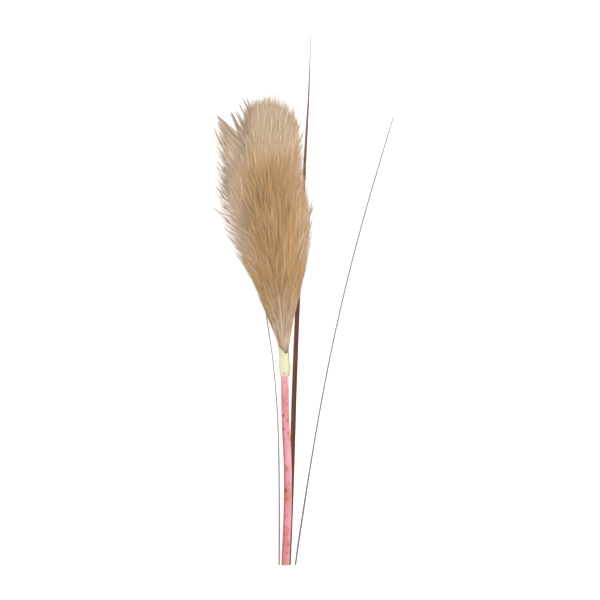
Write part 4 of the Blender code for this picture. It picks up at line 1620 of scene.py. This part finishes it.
paths, _ = lock_hairs(wisp_hairs(), 1)
keep("wisps", paths, WISP_HAIR, draw.normal(0.18, 0.06, WISPS))
loose = crown_wisps()
paths, _ = lock_hairs(loose, 1)
tints = draw.normal(0.18, 0.03, CROWN_WISPS) + 0.07 * (1 - fringe(loose["angle"], loose["share"]))
keep("crown_wisps", paths, CROWN_WISP_HAIR, tints, 0.0)
for root, tip, count in STRAYS:
    keep("strays", stray_hairs(root, tip, count), EDGE_HAIR, draw.normal(RIM, 0.02, count), 0.0)
count_hairs()

# %% [markdown]
# ## From hairs to pieces
#
# All hairs are now in one list. A mesh of more than 200,000 triangles is heavy to handle, so the hairs are
# sorted by their middle's distance along the plume and cut into tiers, each a piece of its own, from the
# neck up to the crown.

# %% Cut the hair into tiers
TIER_HAIRS = 11500
all_paths, all_half_widths, all_tints = (np.concatenate([s[i] for s in strands]) for i in (1, 2, 3))
order = np.argsort(all_paths[:, RINGS // 2, 1], kind="stable")
for tier, chosen in enumerate(np.array_split(order, math.ceil(len(order) / TIER_HAIRS))):
    piece = hair_mesh(f"plume_hair_{tier + 1}", all_paths[chosen], all_half_widths[chosen], all_tints[chosen])
    finish_piece(piece, "plume", PLUME_SILK)
print("Hairs in all:", len(order), "triangles:", len(order) * HAIR_TRIANGLES)

# %% [markdown]
# ## The stage
#
# The bundle lies on a plain white surface, seen from straight above, as in the picture. A long lens keeps
# the tall plume from looking bigger than the blades. The sky is white and does most of the lighting, a
# wide soft lamp at the right gives the hair its form, and the surface is a light table that glows faintly,
# which keeps the shadows round the hair as pale as in the picture.

# %% Floor, light and camera
SEEN_WIDTH = 0.7372
SEEN_MIDDLE = (0.0184, 0.3256)
LENS = 250
SENSOR = 36
FLOOR_SIZE = 12
FLOOR_WHITE = (0.93, 0.93, 0.93, 1)
TABLE_GLOW = 0.18
SKY_STRENGTH = 1.35
LAMP_PLACE = (0.8, 0.1, 2.2)
LAMP_AIM = (0, 0, 0.03)
LAMP_SIZE = 1.8
LAMP_POWER = 16
WHITE = (1, 1, 1, 1)


def make_floor():
    """A plain white surface, with its edges far out of sight."""
    bpy.ops.object.select_all(action="DESELECT")
    bpy.ops.mesh.primitive_plane_add(size=FLOOR_SIZE, location=(0, 0, 0))
    floor = newest("floor")
    material, tree, shader = new_finish("floor_white", 0.9, 0.1)
    shader.inputs["Base Color"].default_value = FLOOR_WHITE
    shader.inputs["Emission Color"].default_value = WHITE
    shader.inputs["Emission Strength"].default_value = TABLE_GLOW
    floor.data.materials.append(material)
    floor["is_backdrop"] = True


def make_lamp():
    """A wide square lamp that points at the middle of the bundle."""
    lamp = bpy.data.lights.new("key", "AREA")
    lamp.size = LAMP_SIZE
    lamp.energy = LAMP_POWER
    obj = bpy.data.objects.new("key", lamp)
    obj.location = LAMP_PLACE
    aim = Vector(LAMP_AIM) - Vector(LAMP_PLACE)
    obj.rotation_euler = aim.to_track_quat("-Z", "Y").to_euler()
    bpy.context.scene.collection.objects.link(obj)


def make_sky():
    """An even white sky."""
    world = bpy.data.worlds.new("studio")
    world.use_nodes = True
    sky = world.node_tree.nodes["Background"]
    sky.inputs["Color"].default_value = WHITE
    sky.inputs["Strength"].default_value = SKY_STRENGTH
    bpy.context.scene.world = world


def make_camera():
    """A camera straight above the bundle, with the plume at the top of the picture."""
    camera = bpy.data.cameras.new("camera")
    camera.lens = LENS
    camera.sensor_width = SENSOR
    camera.clip_end = 50
    obj = bpy.data.objects.new("camera", camera)
    height = SEEN_WIDTH * LENS / SENSOR
    obj.location = (SEEN_MIDDLE[0] + BENCH.x, SEEN_MIDDLE[1] + BENCH.y, height)
    bpy.context.scene.collection.objects.link(obj)
    bpy.context.scene.camera = obj


make_floor()
make_sky()
make_lamp()
make_camera()
bpy.context.scene.view_settings.view_transform = "Standard"
print("Camera at", [round(v, 3) for v in bpy.context.scene.camera.location])

# %% [markdown]
# ## The size
#
# The measured model's box and the finer pieces' box are printed side by side. The finer pieces have to
# stay in the measured model's box, apart from a few millimetres of hair.

# %% Both boxes side by side
seen_box = [list(corner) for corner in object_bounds()]
for axis, name in enumerate("XYZ"):
    measured = [round(1000 * corner[axis], 1) for corner in CAD_BOX]
    dressed = [round(1000 * corner[axis], 1) for corner in seen_box]
    print(name, "measured", measured, "dressed", dressed, "mm")
